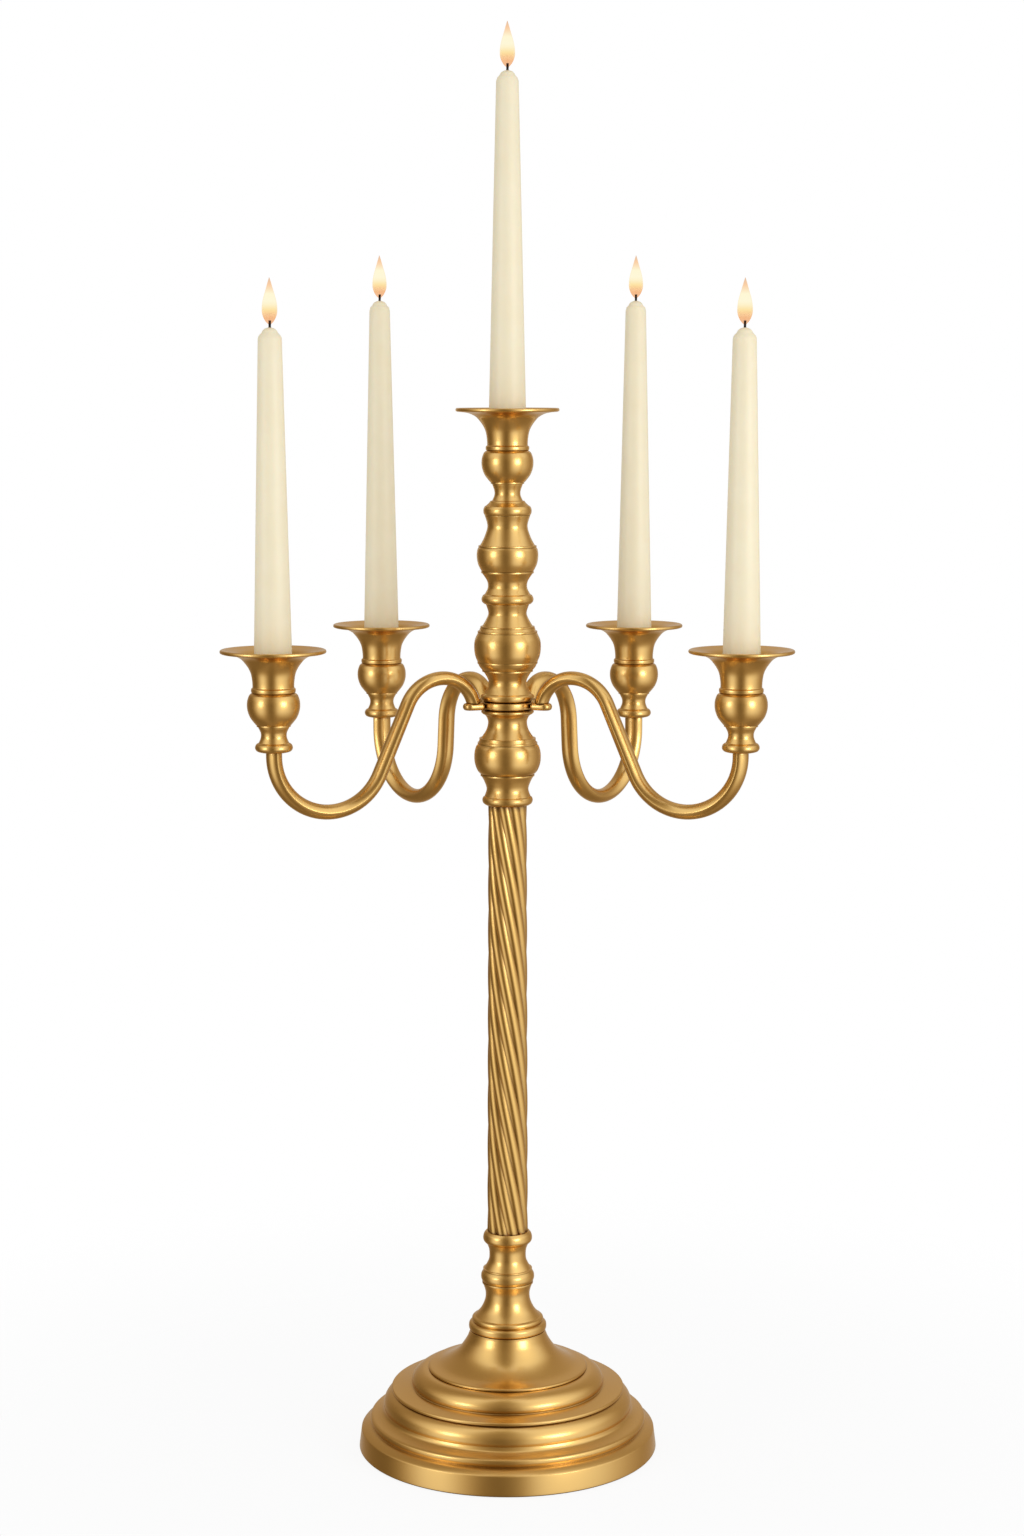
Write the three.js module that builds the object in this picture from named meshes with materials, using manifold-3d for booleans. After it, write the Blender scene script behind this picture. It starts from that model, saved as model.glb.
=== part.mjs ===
// Five-light brass candelabra: a moulded base, a stem threaded on one tie rod, a twisted shaft,
// four scrolled arms on a turning hub ring, and five tapers.
// The origin is the centre of the underside and the stem stands up along +Z. Sizes are in millimetres.

import * as THREE from 'three';
import { mergeVertices } from 'three/addons/utils/BufferGeometryUtils.js';
import Module from 'manifold-3d';

const wasm = await Module();
wasm.setup();

// Clearances
const FIT = 0.3; // play between parts that turn, slide or plug together
const SEAM = 0.1; // gap between the faces of stacked parts
const OVERRUN = 1; // how far a cutting shape reaches past the face it cuts
const ROOT = 2; // how far a tenon or a spigot reaches back into its own part

// Tie rod, its nut and its washer
const ROD_RADIUS = 4;
const ROD_GRIP = 20; // length screwed into the centre cup
const ROD_STICK_OUT = 1.2; // length past the nut
const NUT_ACROSS_FLATS = 13;
const NUT_HEIGHT = 6.5;
const WASHER_RADIUS = 12;
const WASHER_THICKNESS = 1.6;

// Plugs that centre the stem parts on each other
const PLUG_LENGTH = 5;
const SHAFT_BORE = 9;

// Felt pad and cast iron ballast
const FELT_THICKNESS = 1.8;
const BALLAST_CROWN_RADIUS = 68;
const BALLAST_CROWN_RISE = 7;
const BALLAST_CROWN_SLOPE = 3.5; // how far the crown's side leans in
const NUT_POCKET_PLAY = 1;

// Spun base shell. Every outline lists [radius, height] points from the bottom up:
// a row of two is a straight stretch, and a longer row is a smooth curve.
const RIM_LIFT = 0.5; // height of the brass rim above the table
const BASE_WALL = 2.4;
const BASE_OUTLINE = [
  [[89.9, 0], [90.3, 0.5]], // plinth
  [[90.3, 0.5], [88.9, 11.5]],
  [[88.9, 11.5], [88.2, 12.3]],
  [[88.2, 12.3], [82.4, 15.2]], // ledge
  [[82.4, 15.2], [83.3, 17.4], [83.2, 19.2], [82, 20.1]], // lower bead
  [[82, 20.1], [78.6, 21.3], [76, 22.7], [74.9, 24.6]], // cove
  [[74.9, 24.6], [75, 27.6], [73.4, 31.6], [68.6, 35.4]], // large torus
  [[68.6, 35.4], [70.4, 36.1], [70, 37.5]], // lip
  [[70, 37.5], [57.4, 38.4]], // ledge
  [[57.4, 38.4], [58.2, 41], [55.6, 45.4], [46.7, 48.8]], // small torus
  [[46.7, 48.8], [48, 49.4], [47.4, 50.5]], // lip
  [[47.4, 50.5], [40, 52.6], [31, 58.4], [25.6, 65.4], [23.2, 70.6], [22.8, 72.5]], // flare
];
const NECK_FLOOR = 60; // height at which the hollow of the base ends

// Stem foot, turned
const STEM_FOOT_OUTLINE = [
  [[22.6, 0], [23.3, 1.4], [23.3, 3.4], [22.2, 5.2]], // ring
  [[21.2, 5.5], [21.4, 7], [20.3, 8.4]], // bead
  [[19.9, 8.8], [16.2, 12.8], [13.7, 18.4], [13.4, 23.6], [15, 29]], // cove
  [[15, 29], [16, 33.2], [14.3, 37.8]], // bulb
  [[14, 38.2], [11.5, 43], [11, 46.5], [11.3, 50.2], [12.6, 53.8]], // neck
  [[13, 54], [14.4, 55.8], [14.7, 57.6], [14.1, 59.6], [12.4, 61.3]], // collar
];

// Twisted shaft
const SHAFT_LENGTH = 260;
const SHAFT_FOOT_RADIUS = 12.25; // over the ridges
const SHAFT_HEAD_RADIUS = 11.5;
const FLUTES = 10;
const FLUTE_DEPTH = 1;
const FLUTE_STEPS = [0, 0.18, 0.5, 0.82]; // where the points of one flute lie, from groove to groove
const TWIST_PITCH = 263; // height of one full turn, left-handed

// Lower knop, turned
const LOWER_KNOP_OUTLINE = [
  [[12.2, 0], [14.3, 1.4], [14.9, 3.4], [14.4, 5]], // collar
  [[14.2, 5.1], [12.5, 9.4], [13.6, 13.6], [15.5, 17.6]], // cove
  [[15.7, 18.2], [17.8, 20.4], [19.4, 25], [19.7, 30], [18.9, 34.4], [17.6, 36.6]], // bulb
  [[17.2, 37], [16.8, 38.6], [15.6, 40.2]], // bead
  [[14.6, 41.2], [12, 46], [11.5, 49.2], [12.4, 52.6], [13.6, 54]], // neck
  [[14, 54.2], [15.3, 55.4], [15.6, 57]], // collar
];

// Hub ring, which turns on a boss of the lower knop
const HUB_RADIUS = 15.5;
const HUB_THICKNESS = 4.4;
const HUB_BORE = 8.3;
const HUB_EDGE = 0.4;
const HUB_BOSS_REACH = 3; // length of the boss that enters the upper knop

// Arm shoes: a flat foot with a round end and a tenon that enters the hub ring
const SHOE_WIDTH = 9;
const SHOE_THICKNESS = 4.3;
const SHOE_TOE = 6.3; // from the middle of the arm rod to the end of the shoe
const SHOE_EDGE = 0.5;
const TENON_WIDTH = 4.4;
const TENON_HEIGHT = 2;
const TENON_LENGTH = 3.6;

// Arm screws, from below through the shoe into the arm rod
const SCREW_RADIUS = 1.5;
const SCREW_HEAD_RADIUS = 2.7;
const SCREW_HEAD_HEIGHT = 1.6;
const SCREW_GRIP = 3.2; // length inside the arm rod
const SCREW_REACH = 22.6; // from the stem's axis

// Arms: a scroll in the radial plane, of two arcs over the crest, a slope, one arc for the bowl
// and a straight tail under the cup. The back pair has a lower crest and a deeper bowl.
const ARM_REACH = 146.3; // from the stem's axis to the cup's axis
const ARM_FOOT_REACH = 22; // from the stem's axis to the arm rod on its shoe
const ARM_DROP = 18.7; // from the shoe's underside down to the arm's end in its cup
const ARM_STUB = 3; // straight length that is cut flush on the shoe
const CREST_INNER_RADIUS = 20;
const FRONT_CREST_RISE = 15.4; // above the shoe
const FRONT_CREST_OUTER_RADIUS = 24.1;
const FRONT_SLOPE_ANGLE = THREE.MathUtils.degToRad(66.1);
const FRONT_SLOPE_LENGTH = 44.2;
const BACK_CREST_RISE = 10.5;
const BACK_CREST_OUTER_RADIUS = 29;
const BACK_SLOPE_ANGLE = THREE.MathUtils.degToRad(86);
const BACK_SLOPE_LENGTH = 16.7;
const ARM_HALF_THICKNESS = 4.05; // in the plane of the scroll
const ARM_HALF_WIDTH = 4.75; // across it, out to the arris on each side
const ARM_FOOT_SCALE = 0.86; // the rod thickens from its foot to its cup
const ARM_CUP_SCALE = 1.06;
const ARM_SPIGOT_RADIUS = 3;
const ARM_SPIGOT_LENGTH = 12;
const FRONT_ANGLE = 24; // from the sideways line towards the front
const BACK_ANGLE = 57; // from the sideways line towards the back

// Upper knop, turned
const UPPER_KNOP_OUTLINE = [
  [[15.2, 0], [15.7, 0.6], [15.7, 2.6], [15.2, 3.9]], // collar
  [[14.6, 4.3], [12.2, 7.4], [11.2, 11.2], [12.1, 13.6], [14.2, 17.2]], // neck
  [[14.9, 18], [16.9, 20.6], [17.5, 22.8]], // bead
  [[17.9, 23.6], [19.2, 27.2], [19.7, 32.2], [19.2, 36.4], [17.4, 40.6]], // bulb
  [[16.9, 41.2], [16.6, 42.2], [15.8, 43.4]], // bead
  [[15, 44.4], [12.2, 49], [11.3, 52.6], [12.8, 57.2]], // neck
];

// Middle baluster, turned
const BALUSTER_OUTLINE = [
  [[13.4, 0], [15, 1.8], [15.2, 3.6], [14, 5.8]], // ring
  [[13.2, 6.8], [11.9, 9], [11.5, 11], [12.2, 14], [15, 18.6]], // cove
  [[15.4, 19.2], [17.3, 23.4], [18.1, 28.6], [17.6, 32.4], [16.9, 33.8]], // bulb
  [[16.5, 34.4], [13.8, 38.9], [11.9, 44.6], [12.1, 48], [13.4, 52]], // neck
];

// Candles: a round butt that plugs into the cup and a body that tapers
const BUTT_RADIUS = 10.4;
const BUTT_LENGTH = 20.5;
const BUTT_CHAMFER = 1;
const CANDLE_RADIUS = 11;
const CANDLE_TAPER = 0.0222; // radius lost for each millimetre of height
const CANDLE_NEW_LENGTH = 230.7;
const CANDLE_TOP_OUTLINE = [[0, 4.7], [1.8, 2.6], [3.3, 0.7]]; // [radius lost, depth below the top]
const CENTRE_CANDLE_BURNT = 8.2; // length lost by burning
const FRONT_CANDLE_BURNT = 19.5;
const BACK_CANDLE_BURNT = 0;
const WICK_RADIUS = 0.6;
const WICK_SHOWN = 4.7;
const WICK_HELD = 8;

// Cups: a ball, a bead and a flared dish over the candle seat, whose height is zero here
const CUP_WALL = 1.2;
const SEAT_TO_RIM = 30.5;
const RIM_THICKNESS = 1.9;
const RIM_WIDTH = 18.2; // from the neck's outside to the rim's outside
const BALL_RADIUS = 15.3;
const BALL_CENTRE = -1;
const BALL_FOOT_RADIUS = 10.4;
const BEAD_RADIUS = 13.1;
const BEAD_HEIGHT = 2.6;
const CUP_NECK_HEIGHT = 8.4; // above the seat
// Flare of the dish as [growth over the neck's radius, height over the neck's foot]
const FLARE_OUTLINE = [[0, 0], [0.1, 3.4], [0.8, 8.1], [3, 12.7], [7, 17.4], [10.6, 19.2], [16.2, 19.9]];
// Stands below the ball as [radius, height above the seat]
const CENTRE_STAND_OUTLINE = [
  [[13.3, -32], [14, -30.2], [14, -28.8], [13, -26.3]], // collar
  [[11.8, -25.4], [9.6, -23.4]], // step
  [[9.2, -22.8], [7.7, -19.8], [7.8, -17.6], [9.2, -14.8]], // neck
];
const SIDE_STAND_OUTLINE = [
  [[7.4, -28.5], [9.8, -27.2], [10.8, -25.4], [10.3, -23.8], [9.2, -23]], // ring
  [[8.6, -22.4], [7.5, -19.4], [7.6, -17.2], [9, -14.6]], // neck
];

// Facets
const BASE_SIDES = 28;
const STEM_SIDES = 16;
const CUP_SIDES = 14;
const SMALL_SIDES = 10;
const WICK_SIDES = 8;
const CURVE_STEPS = 1; // facets between two neighbouring points of a curve
const BALL_STEPS = 5;
const BEAD_STEPS = 2;
const SHAFT_ROWS = 18;
const ARM_ROWS = 22;
const ARM_SECTION_STEPS = 4; // facets on each half of the arm's section

// Finishes
const satinBrass = new THREE.MeshStandardMaterial({ color: 0xb98a3c, metalness: 1, roughness: 0.32 });
const castIron = new THREE.MeshStandardMaterial({ color: 0x3b3a38, metalness: 0.8, roughness: 0.7 });
const steel = new THREE.MeshStandardMaterial({ color: 0xb4b6b8, metalness: 1, roughness: 0.35 });
const felt = new THREE.MeshStandardMaterial({ color: 0x23402f, metalness: 0, roughness: 1 });
const wax = new THREE.MeshStandardMaterial({ color: 0xf1e6c8, metalness: 0, roughness: 0.5 });
const charredCotton = new THREE.MeshStandardMaterial({ color: 0x2a211b, metalness: 0, roughness: 0.95 });

// One [radius, height] pair as a vector
function vector([radius, height]) {
  return new THREE.Vector2(radius, height);
}

// Turn one row of outline points into points along a straight line or a smooth curve
function stretch(points) {
  const corners = points.map(vector);
  if (corners.length === 2) {
    return corners;
  }
  return new THREE.SplineCurve(corners).getPoints(CURVE_STEPS * (corners.length - 1));
}

// Join the rows of an outline
function outlinePoints(outline) {
  return outline.flatMap(stretch);
}

// Height of a part, read from the last point of its outline
function heightOf(outline) {
  return outline.at(-1).at(-1)[1];
}

// Merge shared vertices and drop the triangles that collapse on the axis
function closed(geometry) {
  geometry.deleteAttribute('normal');
  geometry.deleteAttribute('uv');
  const merged = mergeVertices(geometry);
  const corners = merged.getIndex().array;
  const kept = [];
  for (let i = 0; i < corners.length; i += 3) {
    const [a, b, c] = [corners[i], corners[i + 1], corners[i + 2]];
    if (a !== b && b !== c && c !== a) {
      kept.push(a, b, c);
    }
  }
  merged.setIndex(kept);
  return merged;
}

// Volume inside a closed geometry, negative when its faces point inwards
function volumeOf(geometry) {
  const position = geometry.getAttribute('position');
  const corners = geometry.getIndex().array;
  const corner = (i) => new THREE.Vector3().fromBufferAttribute(position, corners[i]);
  let volume = 0;
  for (let i = 0; i < corners.length; i += 3) {
    volume += corner(i).dot(corner(i + 1).cross(corner(i + 2))) / 6;
  }
  return volume;
}

// Give back the geometry with its faces pointing out
function facingOut(geometry) {
  if (volumeOf(geometry) < 0) {
    geometry.getIndex().array.reverse();
  }
  return geometry;
}

// Revolve points about the vertical axis
function revolved(points, sides) {
  const loop = points.map((point) => point.clone());
  if (loop[0].x > 0 || loop.at(-1).x > 0) {
    loop.push(loop[0].clone());
  }
  const lathe = new THREE.LatheGeometry(loop, sides);
  lathe.rotateX(Math.PI / 2);
  return facingOut(closed(lathe));
}

// Boolean solids
function solidOf(geometry) {
  const shape = closed(geometry);
  return new wasm.Manifold(new wasm.Mesh({
    numProp: 3,
    vertProperties: new Float32Array(shape.getAttribute('position').array),
    triVerts: new Uint32Array(shape.getIndex().array),
  }));
}

function geometryOf(solid) {
  const mesh = solid.getMesh();
  const geometry = new THREE.BufferGeometry();
  geometry.setAttribute('position', new THREE.BufferAttribute(mesh.vertProperties, 3));
  geometry.setIndex(new THREE.BufferAttribute(mesh.triVerts, 1));
  return geometry;
}

// Upright cylinder from one height to another, centred on [x, 0]
function post(radius, from, to, sides = SMALL_SIDES, x = 0) {
  const cylinder = new THREE.CylinderGeometry(radius, radius, to - from, sides);
  cylinder.rotateX(Math.PI / 2);
  cylinder.translate(x, 0, (from + to) / 2);
  return cylinder;
}

// Box between two x values, centred across, from one height to another
function block(fromX, toX, width, from, to) {
  const box = new THREE.BoxGeometry(toX - fromX, width, to - from);
  box.translate((fromX + toX) / 2, 0, (from + to) / 2);
  return box;
}

// Turned part with a bore. Below and above are [radius, length] of a plug, or of a recess
// when the length is negative.
function turned(outline, { bore, below = null, above = null, sides = STEM_SIDES }) {
  const height = heightOf(outline);
  const ends = (plug, face, outwards) => {
    if (!plug) {
      return [vector([bore, face])];
    }
    const [radius, length] = plug;
    const tip = face + outwards * length;
    return [vector([radius, face]), vector([radius, tip]), vector([bore, tip])];
  };
  return revolved([
    ...ends(below, 0, -1).reverse(),
    ...outlinePoints(outline),
    ...ends(above, height, 1),
  ], sides);
}

// Skin a row of rings of equal counts and close both ends
function lofted(rings) {
  const sides = rings[0].length;
  const last = rings.length - 1;
  const centre = (ring) => ring.reduce((sum, p) => sum.add(p), new THREE.Vector3()).divideScalar(sides);
  const points = [...rings.flat(), centre(rings[0]), centre(rings[last])];
  const faces = [];
  for (let row = 0; row < last; row += 1) {
    for (let i = 0; i < sides; i += 1) {
      const next = (i + 1) % sides;
      const [a, b] = [row * sides + i, row * sides + next];
      const [c, d] = [a + sides, b + sides];
      faces.push(a, b, d, a, d, c);
    }
  }
  for (let i = 0; i < sides; i += 1) {
    const next = (i + 1) % sides;
    faces.push(rings.length * sides, next, i);
    faces.push(rings.length * sides + 1, last * sides + i, last * sides + next);
  }
  const geometry = new THREE.BufferGeometry().setFromPoints(points);
  geometry.setIndex(faces);
  return facingOut(geometry);
}

// Make a named mesh at a height
function part(name, geometry, material, height = 0) {
  const mesh = new THREE.Mesh(geometry, material);
  mesh.name = name;
  mesh.position.z = height;
  return mesh;
}

// Heights of the stem's parts above the table
const stemFootHeight = RIM_LIFT + heightOf(BASE_OUTLINE) + SEAM;
const shaftHeight = stemFootHeight + heightOf(STEM_FOOT_OUTLINE) + SEAM;
const lowerKnopHeight = shaftHeight + SHAFT_LENGTH + SEAM;
const lowerKnopTop = lowerKnopHeight + heightOf(LOWER_KNOP_OUTLINE);
const hubHeight = lowerKnopTop + FIT;
const upperKnopHeight = hubHeight + HUB_THICKNESS + FIT;
const balusterHeight = upperKnopHeight + heightOf(UPPER_KNOP_OUTLINE) + SEAM;
const centreStandHeight = balusterHeight + heightOf(BALUSTER_OUTLINE) + SEAM;
const centreSeatHeight = centreStandHeight - CENTRE_STAND_OUTLINE[0][0][1];
const rodBore = ROD_RADIUS + FIT;
const shaftPlugRadius = SHAFT_BORE - FIT;
const hubBossRadius = HUB_BORE - FIT;

// Base: a spun shell whose inside follows the row ends of its outside at the wall's distance,
// never wider than below, with one straight side inside the plinth
function baseInside() {
  const [rim, , , ledge, ...upper] = BASE_OUTLINE.map((row) => row[0]);
  const flare = BASE_OUTLINE.at(-1).slice(1).filter(([, height]) => height - BASE_WALL < NECK_FLOOR);
  const inside = [vector([rim[0] - BASE_WALL, 0])];
  let limit = Infinity;
  for (const [radius, height] of [ledge, ...upper, ...flare]) {
    limit = Math.min(limit, radius - BASE_WALL);
    inside.push(vector([limit, height - BASE_WALL]));
  }
  return [...inside, vector([limit, NECK_FLOOR]), vector([rodBore, NECK_FLOOR])];
}

function baseShell() {
  const top = heightOf(BASE_OUTLINE);
  const recess = shaftPlugRadius + FIT;
  return revolved([
    ...baseInside().reverse(),
    ...outlinePoints(BASE_OUTLINE),
    vector([recess, top]),
    vector([recess, top - PLUG_LENGTH - SEAM]),
    vector([rodBore, top - PLUG_LENGTH - SEAM]),
  ], BASE_SIDES);
}

// Ballast: a cast disc that fills the plinth, with a pocket for the nut
const plinthInside = baseInside()[1];
const ballastBottom = FELT_THICKNESS + SEAM;
const pocketTop = ballastBottom + ROD_STICK_OUT + NUT_HEIGHT + WASHER_THICKNESS + 2 * SEAM;
const washerHeight = pocketTop - SEAM - WASHER_THICKNESS;
const nutHeight = washerHeight - SEAM - NUT_HEIGHT;
const ballastShoulder = RIM_LIFT + plinthInside.y - SEAM;

function ballast() {
  const rim = plinthInside.x - FIT;
  const pocket = WASHER_RADIUS + NUT_POCKET_PLAY;
  const crown = ballastShoulder + BALLAST_CROWN_RISE;
  const corners = [
    [pocket, ballastBottom],
    [rim, ballastBottom],
    [rim, ballastShoulder],
    [BALLAST_CROWN_RADIUS + BALLAST_CROWN_SLOPE, ballastShoulder],
    [BALLAST_CROWN_RADIUS, crown],
    [rodBore, crown],
    [rodBore, pocketTop],
    [pocket, pocketTop],
  ];
  return revolved(corners.map(vector), BASE_SIDES);
}

// Washer and nut, which pull on the tie rod from inside the pocket
function washer() {
  const corners = [
    [rodBore, 0],
    [WASHER_RADIUS, 0],
    [WASHER_RADIUS, WASHER_THICKNESS],
    [rodBore, WASHER_THICKNESS],
  ];
  return revolved(corners.map(vector), SMALL_SIDES);
}

function nut() {
  const hexagon = post(NUT_ACROSS_FLATS / Math.sqrt(3), 0, NUT_HEIGHT, 6);
  const thread = post(rodBore, -OVERRUN, NUT_HEIGHT + OVERRUN);
  return geometryOf(solidOf(hexagon).subtract(solidOf(thread)));
}

const rodBottom = nutHeight - ROD_STICK_OUT + SEAM;
const rodTop = centreStandHeight + ROD_GRIP;

function addBase(group) {
  const feltRadius = baseInside()[0].x - FIT;
  group.add(part('felt_pad', post(feltRadius, 0, FELT_THICKNESS, BASE_SIDES), felt));
  group.add(part('base_shell', baseShell(), satinBrass, RIM_LIFT));
  group.add(part('base_ballast', ballast(), castIron));
  group.add(part('base_washer', washer(), steel, washerHeight));
  group.add(part('base_nut', nut(), steel, nutHeight));
  group.add(part('tie_rod', post(ROD_RADIUS, rodBottom, rodTop), steel));
}

// Shaft: ten round flutes that wind to the left round a straight bore
function fluteRadius(crest, turn) {
  const across = 2 * (turn * FLUTES - Math.floor(turn * FLUTES)) - 1;
  return crest - FLUTE_DEPTH * (1 - Math.sqrt(1 - across * across));
}

function twistedShaft() {
  const rings = [];
  for (let row = 0; row <= SHAFT_ROWS; row += 1) {
    const height = (SHAFT_LENGTH * row) / SHAFT_ROWS;
    const crest = THREE.MathUtils.lerp(SHAFT_FOOT_RADIUS, SHAFT_HEAD_RADIUS, row / SHAFT_ROWS);
    const points = [];
    for (let flute = 0; flute < FLUTES; flute += 1) {
      for (const step of FLUTE_STEPS) {
        const turn = (flute + step) / FLUTES;
        const angle = 2 * Math.PI * (turn - height / TWIST_PITCH);
        const radius = fluteRadius(crest, turn);
        points.push(new THREE.Vector3(radius * Math.cos(angle), radius * Math.sin(angle), height));
      }
    }
    rings.push(points);
  }
  const bore = post(SHAFT_BORE, -OVERRUN, SHAFT_LENGTH + OVERRUN, STEM_SIDES);
  return geometryOf(solidOf(lofted(rings)).subtract(solidOf(bore)));
}

function addStem(group) {
  const plug = [shaftPlugRadius, PLUG_LENGTH];
  const boss = [hubBossRadius, HUB_THICKNESS + 2 * FIT + HUB_BOSS_REACH];
  const bossRecess = [hubBossRadius + FIT, -HUB_BOSS_REACH - SEAM];
  const stemFoot = turned(STEM_FOOT_OUTLINE, { bore: rodBore, below: plug, above: plug });
  const lowerKnop = turned(LOWER_KNOP_OUTLINE, { bore: rodBore, below: plug, above: boss });
  const upperKnop = turned(UPPER_KNOP_OUTLINE, { bore: rodBore, below: bossRecess });
  const baluster = turned(BALUSTER_OUTLINE, { bore: rodBore });
  group.add(part('stem_foot', stemFoot, satinBrass, stemFootHeight));
  group.add(part('twisted_shaft', twistedShaft(), satinBrass, shaftHeight));
  group.add(part('lower_knop', lowerKnop, satinBrass, lowerKnopHeight));
  group.add(part('upper_knop', upperKnop, satinBrass, upperKnopHeight));
  group.add(part('middle_baluster', baluster, satinBrass, balusterHeight));
}

// Cups: one turned piece each, with the candle socket above and a blind bore below
const socketRadius = BUTT_RADIUS + FIT;
const cupNeckRadius = socketRadius + CUP_WALL;

function flareRow(offset) {
  return FLARE_OUTLINE.map(([growth, rise]) => [
    cupNeckRadius + growth - offset,
    CUP_NECK_HEIGHT + rise + offset,
  ]);
}

function ballPoints() {
  const foot = -Math.acos(BALL_FOOT_RADIUS / BALL_RADIUS);
  const head = Math.acos(BEAD_RADIUS / BALL_RADIUS);
  const arc = new THREE.Path().absarc(0, BALL_CENTRE, BALL_RADIUS, foot, head, false);
  return arc.getPoints(BALL_STEPS);
}

function beadPoints() {
  const middle = CUP_NECK_HEIGHT - BEAD_HEIGHT / 2;
  const bulge = BEAD_HEIGHT / 2;
  const arc = new THREE.Path().absarc(BEAD_RADIUS - bulge, middle, bulge, -Math.PI / 2, Math.PI / 2, false);
  return arc.getPoints(BEAD_STEPS);
}

function candleCup(stand, boreRadius, boreDepth) {
  const rimRadius = cupNeckRadius + RIM_WIDTH;
  const inside = flareRow(CUP_WALL);
  const foot = stand[0][0][1];
  const lip = RIM_THICKNESS / 4;
  return revolved([
    vector([boreRadius, foot]),
    ...outlinePoints(stand),
    ...ballPoints(),
    ...beadPoints(),
    ...stretch(flareRow(0)),
    vector([rimRadius - lip, SEAT_TO_RIM - RIM_THICKNESS]),
    vector([rimRadius, SEAT_TO_RIM - RIM_THICKNESS + lip]),
    vector([rimRadius, SEAT_TO_RIM - lip]),
    vector([rimRadius - lip, SEAT_TO_RIM]),
    vector([rimRadius - CUP_WALL, SEAT_TO_RIM]),
    ...stretch(inside).reverse(),
    vector([socketRadius, 0]),
    vector([0, 0]),
    vector([0, foot + boreDepth]),
    vector([boreRadius, foot + boreDepth]),
  ], CUP_SIDES);
}

// Candle, with a hole for its wick, and the wick
function candle(length) {
  const tip = CANDLE_RADIUS - CANDLE_TAPER * (length - BUTT_LENGTH);
  const hole = WICK_RADIUS + FIT;
  const corners = [
    [0, 0],
    [BUTT_RADIUS, 0],
    [BUTT_RADIUS, BUTT_LENGTH - BUTT_CHAMFER],
    [CANDLE_RADIUS, BUTT_LENGTH],
    ...CANDLE_TOP_OUTLINE.map(([lost, depth]) => [tip - lost, length - depth]),
    [hole, length],
    [hole, length - WICK_HELD],
    [0, length - WICK_HELD],
  ];
  return revolved(corners.map(vector), CUP_SIDES);
}

function addCandle(group, place, seatHeight, burnt) {
  const length = CANDLE_NEW_LENGTH - burnt;
  const butt = seatHeight + FIT;
  const wick = post(WICK_RADIUS, length - WICK_HELD + SEAM, length + WICK_SHOWN, WICK_SIDES);
  group.add(part(`candle_${place}`, candle(length), wax, butt));
  group.add(part(`wick_${place}`, wick, charredCotton, butt));
}

// The four arms: the azimuth is counted from +X, and each pair has its own curve
const FRONT_CURVE = {
  crestRise: FRONT_CREST_RISE,
  outerRadius: FRONT_CREST_OUTER_RADIUS,
  slopeAngle: FRONT_SLOPE_ANGLE,
  slopeLength: FRONT_SLOPE_LENGTH,
};
const BACK_CURVE = {
  crestRise: BACK_CREST_RISE,
  outerRadius: BACK_CREST_OUTER_RADIUS,
  slopeAngle: BACK_SLOPE_ANGLE,
  slopeLength: BACK_SLOPE_LENGTH,
};
const ARMS = [
  { place: 'front_right', azimuth: -FRONT_ANGLE, curve: FRONT_CURVE, burnt: FRONT_CANDLE_BURNT },
  { place: 'back_right', azimuth: BACK_ANGLE, curve: BACK_CURVE, burnt: BACK_CANDLE_BURNT },
  { place: 'back_left', azimuth: 180 - BACK_ANGLE, curve: BACK_CURVE, burnt: BACK_CANDLE_BURNT },
  { place: 'front_left', azimuth: 180 + FRONT_ANGLE, curve: FRONT_CURVE, burnt: FRONT_CANDLE_BURNT },
];

// Hub ring with a mortise for each arm shoe
function hubRing() {
  const edge = HUB_EDGE;
  const corners = [
    [HUB_BORE, 0],
    [HUB_RADIUS - edge, 0],
    [HUB_RADIUS, edge],
    [HUB_RADIUS, HUB_THICKNESS - edge],
    [HUB_RADIUS - edge, HUB_THICKNESS],
    [HUB_BORE, HUB_THICKNESS],
  ];
  const floor = HUB_RADIUS - TENON_LENGTH - FIT;
  const slotBottom = (SHOE_THICKNESS - TENON_HEIGHT) / 2 - FIT;
  const slotTop = (SHOE_THICKNESS + TENON_HEIGHT) / 2 + FIT;
  let body = solidOf(revolved(corners.map(vector), STEM_SIDES));
  for (const { azimuth } of ARMS) {
    const slot = block(floor, HUB_RADIUS + OVERRUN, TENON_WIDTH + 2 * FIT, slotBottom, slotTop);
    slot.rotateZ(THREE.MathUtils.degToRad(azimuth));
    body = body.subtract(solidOf(slot));
  }
  return geometryOf(body);
}

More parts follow.
